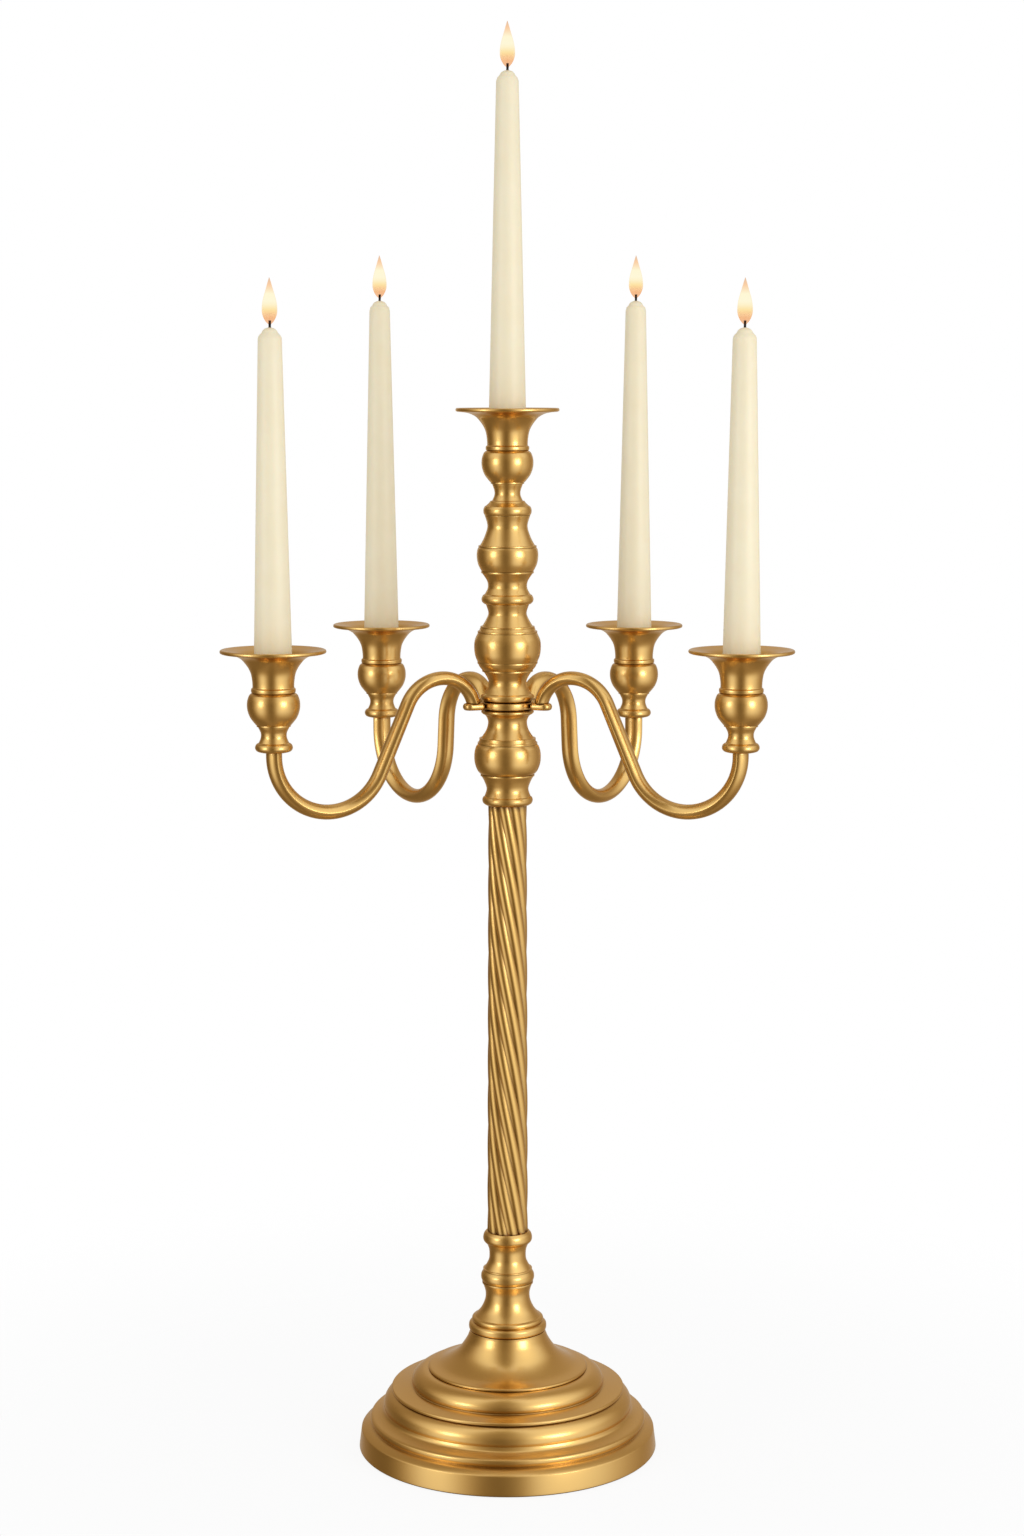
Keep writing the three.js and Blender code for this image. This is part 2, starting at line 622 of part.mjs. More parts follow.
// Arm shoe, butted on the ring, with its tenon and a counterbored screw hole
function armShoe() {
  const end = ARM_FOOT_REACH + SHOE_TOE - SHOE_WIDTH / 2;
  const half = SHOE_WIDTH / 2;
  const plan = new THREE.Shape();
  plan.moveTo(HUB_RADIUS - half / 2, -half);
  plan.lineTo(end, -half);
  plan.absarc(end, 0, half, -Math.PI / 2, Math.PI / 2, false);
  plan.lineTo(HUB_RADIUS - half / 2, half);
  plan.closePath();
  const plate = new THREE.ExtrudeGeometry(plan, {
    depth: SHOE_THICKNESS - 2 * SHOE_EDGE,
    bevelThickness: SHOE_EDGE,
    bevelSize: SHOE_EDGE,
    bevelOffset: -SHOE_EDGE,
    bevelSegments: 1,
    curveSegments: 4,
  });
  plate.translate(0, 0, SHOE_EDGE);
  const tip = HUB_RADIUS - TENON_LENGTH;
  const tenonBottom = (SHOE_THICKNESS - TENON_HEIGHT) / 2;
  const tenon = block(tip, HUB_RADIUS + ROOT, TENON_WIDTH, tenonBottom, tenonBottom + TENON_HEIGHT);
  const through = SHOE_THICKNESS + OVERRUN;
  const ringSpace = post(HUB_RADIUS + FIT, -OVERRUN, through, 2 * STEM_SIDES);
  const hole = post(SCREW_RADIUS + FIT, -OVERRUN, through, SMALL_SIDES, SCREW_REACH);
  const sinkTop = SCREW_HEAD_HEIGHT + FIT;
  const sink = post(SCREW_HEAD_RADIUS + FIT, -OVERRUN, sinkTop, SMALL_SIDES, SCREW_REACH);
  const body = solidOf(plate).subtract(solidOf(ringSpace)).add(solidOf(tenon));
  return geometryOf(body.subtract(solidOf(hole)).subtract(solidOf(sink)));
}

function armScrew() {
  const bottom = FIT;
  const seat = bottom + SCREW_HEAD_HEIGHT;
  const corners = [
    [0, bottom],
    [SCREW_HEAD_RADIUS, bottom],
    [SCREW_HEAD_RADIUS, seat - SEAM],
    [SCREW_RADIUS, seat - SEAM],
    [SCREW_RADIUS, SHOE_THICKNESS + SCREW_GRIP],
    [0, SHOE_THICKNESS + SCREW_GRIP],
  ];
  return revolved(corners.map(vector), SMALL_SIDES);
}

// Middle line of an arm rod in its radial plane, as a path of x outwards and y upwards
function armPath({ crestRise, outerRadius, slopeAngle, slopeLength }) {
  const right = Math.PI / 2;
  const footAngle = Math.acos(1 - crestRise / CREST_INNER_RADIUS);
  const crestX = ARM_FOOT_REACH + CREST_INNER_RADIUS * Math.sin(footAngle);
  const crestY = SHOE_THICKNESS + crestRise;
  const slopeX = crestX + outerRadius * Math.sin(slopeAngle) + slopeLength * Math.cos(slopeAngle);
  const slopeY = crestY - outerRadius * (1 - Math.cos(slopeAngle)) - slopeLength * Math.sin(slopeAngle);
  const bowlRadius = (ARM_REACH - slopeX) / (1 + Math.sin(slopeAngle));
  const bowlX = ARM_REACH - bowlRadius;
  const bowlY = slopeY + bowlRadius * Math.cos(slopeAngle);
  const path = new THREE.Path();
  path.moveTo(
    ARM_FOOT_REACH - ARM_STUB * Math.cos(footAngle),
    SHOE_THICKNESS - ARM_STUB * Math.sin(footAngle),
  );
  path.lineTo(ARM_FOOT_REACH, SHOE_THICKNESS);
  path.absarc(crestX, crestY - CREST_INNER_RADIUS, CREST_INNER_RADIUS, right + footAngle, right, true);
  path.absarc(crestX, crestY - outerRadius, outerRadius, right, right - slopeAngle, true);
  path.absarc(bowlX, bowlY, bowlRadius, -right - slopeAngle, 0, false);
  path.lineTo(ARM_REACH, -ARM_DROP);
  return path;
}

// Section of the arm rod: two shallow arcs that meet in an arris on each side
function armSection() {
  const [width, thickness] = [ARM_HALF_WIDTH, ARM_HALF_THICKNESS];
  const radius = (width * width + thickness * thickness) / (2 * thickness);
  const tilt = Math.acos(width / radius);
  const points = [];
  for (const side of [1, -1]) {
    for (let i = 0; i < ARM_SECTION_STEPS; i += 1) {
      const angle = tilt + ((Math.PI - 2 * tilt) * i) / ARM_SECTION_STEPS;
      const lift = radius * Math.sin(angle) - (radius - thickness);
      points.push(new THREE.Vector2(side * radius * Math.cos(angle), side * lift));
    }
  }
  return points;
}

function armRod(curve) {
  const path = armPath(curve);
  const section = armSection();
  const across = new THREE.Vector3(0, 1, 0);
  const rings = [];
  for (let row = 0; row <= ARM_ROWS; row += 1) {
    const along = row / ARM_ROWS;
    const middle = path.getPointAt(along);
    const tangent = path.getTangentAt(along);
    const inPlane = new THREE.Vector3(-tangent.y, 0, tangent.x);
    const size = THREE.MathUtils.lerp(ARM_FOOT_SCALE, ARM_CUP_SCALE, along);
    rings.push(section.map(({ x, y }) => new THREE.Vector3(middle.x, 0, middle.y)
      .addScaledVector(across, x * size)
      .addScaledVector(inPlane, y * size)));
  }
  const end = -ARM_DROP - SEAM;
  const wide = 4 * ARM_HALF_WIDTH;
  const below = block(0, 2 * ARM_FOOT_REACH, wide, -2 * SHOE_THICKNESS, SHOE_THICKNESS + SEAM);
  const above = block(ARM_REACH - wide, ARM_REACH + wide, wide, end, end + OVERRUN);
  const spigot = post(ARM_SPIGOT_RADIUS, end - ROOT, ARM_SPIGOT_LENGTH - ARM_DROP, SMALL_SIDES, ARM_REACH);
  const screwTop = SHOE_THICKNESS + SCREW_GRIP + FIT;
  const screwHole = post(SCREW_RADIUS + FIT, 0, screwTop, SMALL_SIDES, SCREW_REACH);
  const rod = solidOf(lofted(rings)).subtract(solidOf(below)).subtract(solidOf(above));
  return geometryOf(rod.add(solidOf(spigot)).subtract(solidOf(screwHole)));
}

function addArm(group, { place, azimuth, curve, burnt }) {
  const arm = new THREE.Group();
  arm.position.z = hubHeight;
  arm.rotation.z = THREE.MathUtils.degToRad(azimuth);
  arm.add(part(`arm_shoe_${place}`, armShoe(), satinBrass));
  const screw = part(`arm_screw_${place}`, armScrew(), steel);
  screw.position.x = SCREW_REACH;
  arm.add(screw);
  arm.add(part(`arm_${place}`, armRod(curve), satinBrass));
  const light = new THREE.Group();
  const seat = -ARM_DROP - SIDE_STAND_OUTLINE[0][0][1];
  const cup = candleCup(SIDE_STAND_OUTLINE, ARM_SPIGOT_RADIUS + FIT, ARM_SPIGOT_LENGTH + FIT);
  light.position.x = ARM_REACH;
  light.add(part(`candle_cup_${place}`, cup, satinBrass, seat));
  addCandle(light, place, seat, burnt);
  arm.add(light);
  group.add(arm);
}

// The whole candelabra
const candelabra = new THREE.Group();
candelabra.name = 'candelabra';
addBase(candelabra);
addStem(candelabra);
candelabra.add(part('hub_ring', hubRing(), satinBrass, hubHeight));
const centreCup = candleCup(CENTRE_STAND_OUTLINE, rodBore, ROD_GRIP + FIT);
candelabra.add(part('candle_cup_centre', centreCup, satinBrass, centreSeatHeight));
addCandle(candelabra, 'centre', centreSeatHeight, CENTRE_CANDLE_BURNT);
ARMS.forEach((arm) => addArm(candelabra, arm));

export default candelabra;
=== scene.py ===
# %% [markdown]
# A five-light brass candelabra
#
# The candelabra is a stack of turned brass parts on a spun base, with four scrolled arms, five
# dished cups and five burning tapers. Its construction is already there as a fixed frame, so this
# script only models the surfaces that the eye meets and gives each of them its finish.
# Every piece is built as a hand would build it, with Blender's own operators.

# %% Open the frame
import math

import bpy
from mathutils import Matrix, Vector


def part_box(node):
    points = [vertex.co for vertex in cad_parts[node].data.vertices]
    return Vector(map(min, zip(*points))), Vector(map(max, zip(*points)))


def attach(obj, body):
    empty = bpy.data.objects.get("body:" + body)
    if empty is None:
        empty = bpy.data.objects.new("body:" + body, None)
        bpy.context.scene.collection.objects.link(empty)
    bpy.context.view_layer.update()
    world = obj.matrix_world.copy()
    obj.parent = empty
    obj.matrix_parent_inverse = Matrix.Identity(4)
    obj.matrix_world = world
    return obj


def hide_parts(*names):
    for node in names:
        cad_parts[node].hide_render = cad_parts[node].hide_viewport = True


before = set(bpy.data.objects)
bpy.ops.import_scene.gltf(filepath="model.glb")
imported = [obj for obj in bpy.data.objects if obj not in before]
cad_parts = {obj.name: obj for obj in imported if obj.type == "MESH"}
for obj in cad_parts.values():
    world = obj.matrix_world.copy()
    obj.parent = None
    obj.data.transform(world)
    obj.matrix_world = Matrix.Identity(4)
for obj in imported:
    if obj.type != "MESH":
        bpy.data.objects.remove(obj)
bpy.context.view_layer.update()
MM = 0.001
WELD = 0.002 * MM
SEAM = 0.1 * MM  # the air left between two pieces that meet
PLACES = ("front_right", "back_right", "back_left", "front_left")

# %% [markdown]
# Small helpers
#
# Blender's operators act on what is selected, so each step first clears the selection. A finished
# piece has its place in its mesh, so every piece ends with its transform applied.


# %% Selecting and finishing
def deselect():
    bpy.ops.object.select_all(action="DESELECT")


def select_only(piece):
    deselect()
    piece.select_set(True)
    bpy.context.view_layer.objects.active = piece


def name_new(name):
    piece = bpy.context.object
    piece.name = name
    piece.data.name = name
    return piece


def apply_place(piece):
    select_only(piece)
    bpy.ops.object.transform_apply(location=True, rotation=True, scale=True)


def clean_mesh(piece, merge=WELD):
    """Weld the seam of a spin and turn all faces outwards."""
    select_only(piece)
    bpy.ops.object.mode_set(mode="EDIT")
    bpy.ops.mesh.select_all(action="SELECT")
    bpy.ops.mesh.remove_doubles(threshold=merge)
    bpy.ops.mesh.normals_make_consistent(inside=False)
    bpy.ops.object.mode_set(mode="OBJECT")


def soften_edges(piece, width, sharpest=30, segments=2):
    """Round the crisp edges a little, as a polishing wheel does, and smooth the rest."""
    select_only(piece)
    bevel = piece.modifiers.new("polished_edges", "BEVEL")
    bevel.width = width * MM
    bevel.segments = segments
    bevel.limit_method = "ANGLE"
    bevel.angle_limit = math.radians(sharpest)
    bpy.ops.object.modifier_apply(modifier=bevel.name)
    bpy.ops.object.shade_smooth_by_angle(angle=math.radians(sharpest))


def place_copy(pattern, name, location=(0, 0, 0), turn=0.0):
    """Copy a pattern with a mesh of its own, put it in its place and apply that place."""
    select_only(pattern)
    bpy.ops.object.duplicate(linked=False)
    copy = name_new(name)
    copy.location = location
    copy.rotation_euler.z = turn
    apply_place(copy)
    return copy


def drop(pattern):
    select_only(pattern)
    bpy.ops.object.delete()


def hand_over(piece, material, body, slot, *nodes):
    """Give a piece its material and body, and hide the frame nodes it replaces. The slot is not used."""
    piece.data.materials.clear()
    piece.data.materials.append(material)
    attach(piece, body)
    if nodes:
        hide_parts(*nodes)
    print(piece.name, len(piece.data.polygons), "faces")


# %% [markdown]
# Colours and nodes
#
# Colours are written as sRGB hex, the way a colour picker shows them, and one function turns them
# into the linear values that shaders work with. Another small function adds a node, sets its values
# and links its inputs, so that each material below reads as a short recipe.


# %% Colour and node helpers
def linear(hex_colour):
    """Turn an sRGB hex colour into linear red, green, blue and an alpha of one."""
    channels = [int(hex_colour[i:i + 2], 16) / 255 for i in (1, 3, 5)]
    return [c / 12.92 if c <= 0.04045 else ((c + 0.055) / 1.055) ** 2.4 for c in channels] + [1.0]


def add_node(tree, kind, inputs=(), **settings):
    """Add a node. Each input takes a value, or is linked if it is given another node's output."""
    node = tree.nodes.new(kind)
    for key, value in settings.items():
        setattr(node, key, value)
    for key, value in dict(inputs).items():
        if isinstance(value, bpy.types.NodeSocket):
            tree.links.new(value, node.inputs[key])
        else:
            node.inputs[key].default_value = value
    return node


def grey(level):
    return (level, level, level, 1.0)


def hex_stops(stops):
    return [(position, linear(tone)) for position, tone in stops]


def set_stops(ramp, stops):
    """Fill a colour ramp from pairs of a position and a linear colour."""
    points = ramp.color_ramp.elements
    while len(points) < len(stops):
        points.new(1.0)
    for point, (position, colour) in zip(points, stops):
        point.position = position
        point.color = colour


def new_material(name):
    material = bpy.data.materials.new(name)
    material.use_nodes = True
    material.node_tree.nodes.clear()
    print("material", name)
    return material


# %% [markdown]
# Lacquered satin brass
#
# The real finish is cast and turned brass, brushed on the lathe with fine emery and then lacquered.
# The brushing leaves hair lines that run round each turned piece and across each arm. They blur the
# reflections into broad soft bands, here by changing the roughness from line to line, because the
# lines are far finer than the picture. The clear lacquer adds a faint pale sheen on top. In tight
# corners the colour has painted shade: the brass is mixed towards dark brown, which stands for the
# shade there and for the tarnish that polishing doesn't reach. The mix follows how open each spot is,
# which Ambient Occlusion measures. The fluted shaft gets more painted shade, already in its open
# grooves, and a darker tone than the other brass, which is painted shade as well.
# The lines follow the surface, so they read an attribute named along, the length in metres along the
# outline of a turned piece, along an arm or up the shaft, which each piece gets when it is drawn.

# %% Brass
HAIR_LINE = 1.2 * MM  # emery lines are finer, and are drawn as coarse as the picture can show
HAIR_REACH = 26 * MM  # length of one hair line round the piece
TARNISH_PATCH = 45 * MM
RECESS_SHADE_REACH = 4 * MM  # how far from a corner the painted shade reaches
# painted shade: the dark brown that closed-in spots are mixed towards, for shade and some tarnish
RECESS_SHADE_TONE = "#74501F"
TARNISH_TONE = "#E2B663"
SMOOTHEST, ROUGHEST = 0.28, 0.295  # roughness of the brushed brass, from line to line
HAIR_LOW, HAIR_HIGH = 0.3, 0.7  # the noise that draws the lines seldom leaves this range


def satin_brass(name, tone="#EBC172", dull=0.2, bright=0.8):
    """Brass with painted shade, dark brown where it is open to less than dull, plain from bright up."""
    material = new_material(name)
    tree = material.node_tree
    place = add_node(tree, "ShaderNodeTexCoord").outputs["Object"]
    along = add_node(tree, "ShaderNodeAttribute", attribute_name="along").outputs["Fac"]
    lines = add_node(tree, "ShaderNodeMath", {0: along, 1: 1 / HAIR_LINE}, operation="MULTIPLY")
    lines = add_node(tree, "ShaderNodeCombineXYZ", {"X": lines.outputs[0]})
    slow = add_node(
        tree, "ShaderNodeVectorMath", {0: place, "Scale": 1 / HAIR_REACH}, operation="SCALE"
    )
    across = add_node(
        tree, "ShaderNodeVectorMath", {0: slow.outputs[0], 1: lines.outputs[0]}, operation="ADD"
    )
    hair = add_node(
        tree, "ShaderNodeTexNoise", {"Vector": across.outputs[0], "Scale": 1.0, "Detail": 3.0}
    )
    tarnish = add_node(
        tree, "ShaderNodeTexNoise", {"Vector": place, "Scale": 1 / TARNISH_PATCH, "Detail": 2.0}
    )
    colour = add_node(
        tree, "ShaderNodeMixRGB",
        {"Fac": tarnish.outputs["Fac"], "Color1": linear(TARNISH_TONE), "Color2": linear(tone)},
    )
    # Painted shade: closed-in spots, found by Ambient Occlusion, are mixed towards dark brown.
    hollow = add_node(tree, "ShaderNodeAmbientOcclusion", {"Distance": RECESS_SHADE_REACH}, samples=8)
    unshaded = add_node(
        tree, "ShaderNodeMapRange",
        {"Value": hollow.outputs["AO"], "From Min": dull, "From Max": bright},
    )
    colour = add_node(
        tree, "ShaderNodeMixRGB",
        {"Fac": unshaded.outputs[0], "Color1": linear(RECESS_SHADE_TONE), "Color2": colour.outputs[0]},
    )
    rough = add_node(
        tree, "ShaderNodeMapRange",
        {
            "Value": hair.outputs["Fac"],
            "From Min": HAIR_LOW,
            "From Max": HAIR_HIGH,
            "To Min": SMOOTHEST,
            "To Max": ROUGHEST,
        },
    )
    shader = add_node(
        tree, "ShaderNodeBsdfPrincipled",
        {
            "Base Color": colour.outputs[0],
            "Metallic": 1.0,
            "Roughness": rough.outputs[0],
            "Specular Tint": linear("#F1D6A0"),
            "Coat Weight": 1.0,
            "Coat Roughness": 0.16,
        },
    )
    add_node(tree, "ShaderNodeOutputMaterial", {"Surface": shader.outputs[0]})
    return material


brass = satin_brass("lacquered_satin_brass")
# The shaft's brass has more painted shade: a darker tone, and dark brown already in its open grooves.
shaded_fluted_brass = satin_brass("lacquered_fluted_brass_painted_shade", tone="#E3B763", dull=0.6, bright=1.0)

# %% [markdown]
# Wax, cotton, felt, iron and steel
#
# The tapers are ivory stearin wax, dipped and smooth. Light goes a few millimetres into wax before it
# comes out again, so it gets subsurface scattering, and a faint mottling keeps it from looking like
# plastic. The wicks are braided cotton, charred dark brown. The other three are hardly seen: wool
# felt under the base, rough cast iron inside it, and plain machined steel fasteners.

# %% Wax
WAX_MOTTLE = 14 * MM
WAX_DEPTH = (3 * MM, 2.2 * MM, 1.4 * MM)  # how far red, green and blue light go in


def stearin_wax():
    material = new_material("ivory_stearin_wax")
    tree = material.node_tree
    place = add_node(tree, "ShaderNodeTexCoord").outputs["Object"]
    mottle = add_node(
        tree, "ShaderNodeTexNoise", {"Vector": place, "Scale": 1 / WAX_MOTTLE, "Detail": 3.0}
    )
    colour = add_node(
        tree, "ShaderNodeMixRGB",
        {"Fac": mottle.outputs["Fac"], "Color1": linear("#F2E6C5"), "Color2": linear("#F7EDD1")},
    )
    relief = add_node(
        tree, "ShaderNodeBump", {"Height": mottle.outputs["Fac"], "Strength": 0.15, "Distance": 0.2 * MM}
    )
    shader = add_node(
        tree, "ShaderNodeBsdfPrincipled",
        {
            "Base Color": colour.outputs[0],
            "Roughness": 0.42,
            "Normal": relief.outputs[0],
            "Subsurface Weight": 0.25,
            "Subsurface Radius": WAX_DEPTH,
            "Subsurface Scale": 1.0,
        },
    )
    add_node(tree, "ShaderNodeOutputMaterial", {"Surface": shader.outputs[0]})
    return material


wax = stearin_wax()


# %% Plain finishes
def grained(name, dark, light, grain, roughness, metallic=0.0, depth=0.1):
    """A finish of two close tones in a fine grain, with a little relief."""
    material = new_material(name)
    tree = material.node_tree
    place = add_node(tree, "ShaderNodeTexCoord").outputs["Object"]
    noise = add_node(tree, "ShaderNodeTexNoise", {"Vector": place, "Scale": 1 / grain, "Detail": 4.0})
    colour = add_node(
        tree, "ShaderNodeMixRGB",
        {"Fac": noise.outputs["Fac"], "Color1": linear(dark), "Color2": linear(light)},
    )
    relief = add_node(
        tree, "ShaderNodeBump", {"Height": noise.outputs["Fac"], "Strength": 0.6, "Distance": depth * MM}
    )
    shader = add_node(
        tree, "ShaderNodeBsdfPrincipled",
        {
            "Base Color": colour.outputs[0],
            "Metallic": metallic,
            "Roughness": roughness,
            "Normal": relief.outputs[0],
        },
    )
    add_node(tree, "ShaderNodeOutputMaterial", {"Surface": shader.outputs[0]})
    return material


# Charred braid is matt and nearly black, and pressed wool is matt all over. Iron from a sand mould is
# pitted and dull, and machined steel has an even grey gleam.
charred_cotton = grained("charred_cotton_braid", "#0C0806", "#24160F", grain=0.35 * MM, roughness=0.9)
wool_felt = grained("wool_felt", "#1C3527", "#2C4C3A", grain=0.8 * MM, roughness=1.0, depth=0.3)
cast_iron = grained(
    "sand_cast_iron", "#2B2A28", "#4A4845", grain=1.6 * MM, roughness=0.7, metallic=0.8, depth=0.3
)
machined_steel = grained(
    "machined_steel", "#A9ABAD", "#C3C5C7", grain=0.5 * MM, roughness=0.35, metallic=1.0
)

# %% [markdown]
# Flames
#
# A candle flame is glowing gas with no skin. Round the wick the gas doesn't glow yet and only tints
# what is seen through it, so the dark wick shows, and higher up it glows pale yellow and hides what
# is behind. So each flame has a clear tinted mantle with two glowing shells inside it, a pale outer
# one and a warmer one round the wick, which both fade in with the height. Their tones follow the
# height too, which each shell carries as an attribute.

# %% Flame materials
MANTLE_STOPS = (  # what the mantle lets through, from the foot to the tip
    (0, "#F0BC98"),
    (0.15, "#F5BC8A"),
    (0.3, "#FCE0B4"),
    (0.42, "#FEF0D0"),
    (0.65, "#FEF0D0"),
    (0.85, "#F8D0AC"),
    (1.0, "#E4C0A4"),
)
TIP_STOPS = (  # pale yellow in the body of the flame and peach at its tip
    (0.65, "#FFFFEC"),
    (0.85, "#FEE4C8"),
    (1.0, "#F0DCCC"),
)
HEART_STOPS = (  # the glow round the wick and above it
    (0.2, "#FCD8B0"),
    (0.33, "#FFF4C0"),
    (0.45, "#FFFFE8"),
) + TIP_STOPS
BELLY_STOPS = (  # the outer glow, pale down to the belly
    (0.12, "#FFDCB4"),
    (0.3, "#FFF0C8"),
    (0.5, "#FFFFF0"),
) + TIP_STOPS


def flame_mantle():
    material = new_material("clear_flame_mantle")
    tree = material.node_tree
    rise = add_node(tree, "ShaderNodeAttribute", attribute_name="rise").outputs["Fac"]
    tint = add_node(tree, "ShaderNodeValToRGB", {"Fac": rise})
    set_stops(tint, hex_stops(MANTLE_STOPS))
    shader = add_node(
        tree, "ShaderNodeBsdfPrincipled",
        {
            "Base Color": tint.outputs[0],
            "Roughness": 0.0,
            "IOR": 1.0,
            "Transmission Weight": 1.0,
        },
    )
    add_node(tree, "ShaderNodeOutputMaterial", {"Surface": shader.outputs[0]})
    return material


def flame_glow(name, stops, start, full, most):
    """Glowing gas whose cover grows with the height, from none at start to most at full."""
    material = new_material(name)
    tree = material.node_tree
    rise = add_node(tree, "ShaderNodeAttribute", attribute_name="rise").outputs["Fac"]
    tone = add_node(tree, "ShaderNodeValToRGB", {"Fac": rise})
    set_stops(tone, hex_stops(stops))
    density = add_node(
        tree, "ShaderNodeMapRange",
        {"Value": rise, "From Min": start, "From Max": full, "To Max": most},
        interpolation_type="SMOOTHSTEP",
    )
    shader = add_node(
        tree, "ShaderNodeBsdfPrincipled",
        {
            "Base Color": linear("#000000"),
            "Roughness": 1.0,
            "Specular IOR Level": 0.0,
            "Emission Color": tone.outputs[0],
            "Emission Strength": 1.0,
            "Alpha": density.outputs[0],
        },
    )
    add_node(tree, "ShaderNodeOutputMaterial", {"Surface": shader.outputs[0]})
    return material


mantle_gas = flame_mantle()
belly_gas = flame_glow("glowing_belly_gas", BELLY_STOPS, start=0.1, full=0.5, most=0.85)
heart_gas = flame_glow("glowing_heart_gas", HEART_STOPS, start=0.17, full=0.33, most=0.95)

# %% [markdown]
# Turning on the lathe
#
# Turned work is drawn as half an outline and spun round its axis. An outline is written as rows of
# [radius, height] in millimetres, in their order round the half section. A row of two points is a
# straight cut, and a longer row is a smooth curve through its points. Where one row ends and the next
# begins somewhere else, the lathe left a small step, and those steps catch the thin bright lines.


# %% Outlines
SAME_SPOT = 0.01  # points closer than this, in millimetres, are one point


def smooth_row(points, steps):
    """Points on a smooth curve that passes through all the given ones."""
    if len(points) == 2:
        return [tuple(p) for p in points]
    ends = [points[0], *points, points[-1]]
    curve = []
    for a, b, c, d in zip(ends, ends[1:], ends[2:], ends[3:]):
        for i in range(steps):
            t = i / steps
            curve.append(tuple(
                0.5 * (2 * b[k] + (c[k] - a[k]) * t + (2 * a[k] - 5 * b[k] + 4 * c[k] - d[k]) * t * t
                       + (3 * b[k] - a[k] - 3 * c[k] + d[k]) * t ** 3)
                for k in (0, 1)
            ))
    return curve + [tuple(points[-1])]


def outline(rows, steps=6):
    """Join the rows of an outline and leave out points that repeat."""
    joined = []
    for row in rows:
        for point in smooth_row(row, steps):
            if not joined or math.dist(point, joined[-1]) > SAME_SPOT:
                joined.append(point)
    return joined


# %% The lathe
TURNED_EDGE = 0.18  # how far the wheel rounds an edge of turned work, in millimetres


def turned(name, points, foot=0.0, sides=96, crisp=TURNED_EDGE):
    """Draw an outline point by point with a vertex, close it and spin it round the Z axis."""
    spots = [Vector((radius * MM, 0, foot + height * MM)) for radius, height in points]
    deselect()
    bpy.ops.mesh.primitive_plane_add(size=MM, location=spots[0])
    piece = name_new(name)
    bpy.ops.object.mode_set(mode="EDIT")
    bpy.ops.mesh.merge(type="CENTER")
    for here, there in zip(spots, spots[1:] + spots[:1]):
        bpy.ops.mesh.extrude_vertices_move(TRANSFORM_OT_translate={"value": there - here})
    bpy.ops.object.mode_set(mode="OBJECT")
    apply_place(piece)
    mark_along(piece, spots)
    bpy.ops.object.mode_set(mode="EDIT")
    bpy.ops.mesh.select_all(action="SELECT")
    bpy.ops.mesh.spin(steps=sides, angle=2 * math.pi, center=(0, 0, 0), axis=(0, 0, 1))
    bpy.ops.object.mode_set(mode="OBJECT")
    clean_mesh(piece)
    soften_edges(piece, crisp)
    return piece


def mark_along(piece, spots):
    """Store the length along the outline on each vertex, for the hair lines."""
    along = piece.data.attributes.new("along", "FLOAT", "POINT")
    length = 0.0
    for i, vertex in enumerate(along.data):
        vertex.value = length
        length += (spots[(i + 1) % len(spots)] - spots[i % len(spots)]).length


# %% [markdown]
# The base
#
# The base is one shell spun from sheet brass: a low plinth with a chamfered foot, a bead, a cove, two
# big round mouldings that each end in a thin overhanging lip, and a flare up to the neck. A spinner
# presses the sheet over one outline, so one outline is spun here too. It has more sides than the
# stem, because the base is five times as wide and its rim would show the facets.

# %% Spun base
STEM_BORE = 4.3  # the hole for the rod, through the base and the stem
BASE_ROWS = [
    [[87.6, 0], [89.7, 0]],
    [[89.7, 0], [90.3, 0.7]],
    [[90.3, 0.7], [88.9, 11.8]],
    [[88.9, 11.8], [88.3, 12.5]],
    [[88.3, 12.5], [83, 14.6]],
    [[83, 14.6], [82.2, 15]],
    [[82.2, 15], [83.2, 16.6], [83.5, 18.2], [83.1, 19.4], [82, 20.1]],
    [[82, 20.1], [78.6, 21.2], [76, 22.6], [74.9, 24.6]],
    [[74.9, 24.6], [75.3, 27], [74.6, 30], [72.4, 33], [68.8, 35.6]],
    [[68.8, 35.6], [70.4, 35.8]],
    [[70.4, 35.8], [70.5, 37]],
    [[70.5, 37], [69.9, 37.6]],
    [[69.9, 37.6], [57.4, 38.4]],
    [[57.4, 38.4], [58.3, 40.2], [57.8, 43], [55.4, 46], [51.6, 48.2], [46.9, 48.9]],
    [[46.9, 48.9], [48.1, 49]],
    [[48.1, 49], [48.1, 50]],
    [[48.1, 50], [47.4, 50.5]],
    [[47.4, 50.5], [40, 52.6], [31, 58.4], [25.6, 65.4], [23.2, 70.6], [22.8, 72.5]],
    [[22.8, 72.5], [9, 72.5]],
    [[9, 72.5], [9, 67]],
    [[9, 67], [STEM_BORE, 67]],
    [[STEM_BORE, 67], [STEM_BORE, 60]],
    [[STEM_BORE, 60], [26, 60]],
    [[26, 60], [55, 42]],
    [[55, 42], [80, 12]],
    [[80, 12], [87.6, 12]],
]
base_low, base_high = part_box("base_shell")
BASE_SIDES = 160
BASE_EDGE = 0.35
base_points = outline(BASE_ROWS, steps=8)
base = turned("spun_base", base_points, base_low.z, sides=BASE_SIDES, crisp=BASE_EDGE)
hand_over(base, brass, "root", "brass", "base_shell")

# %% [markdown]
# The turned stem
#
# The stem foot, the two knops and the baluster are turned from bar and threaded on a rod. Each is
# bored through, and its place comes from the frame. One outline for each part keeps the collars,
# coves and beads in one skin, which stacked rings wouldn't.

# %% Outlines of the stem
def line_ring(radius, low, proud=0.5, width=1.0):
    """A fine raised ring, left by the tool where two curves of the outline meet."""
    out, high = radius + proud, low + width
    return [[[radius, low], [out, low]], [[out, low], [out, high]], [[out, high], [radius, high]]]


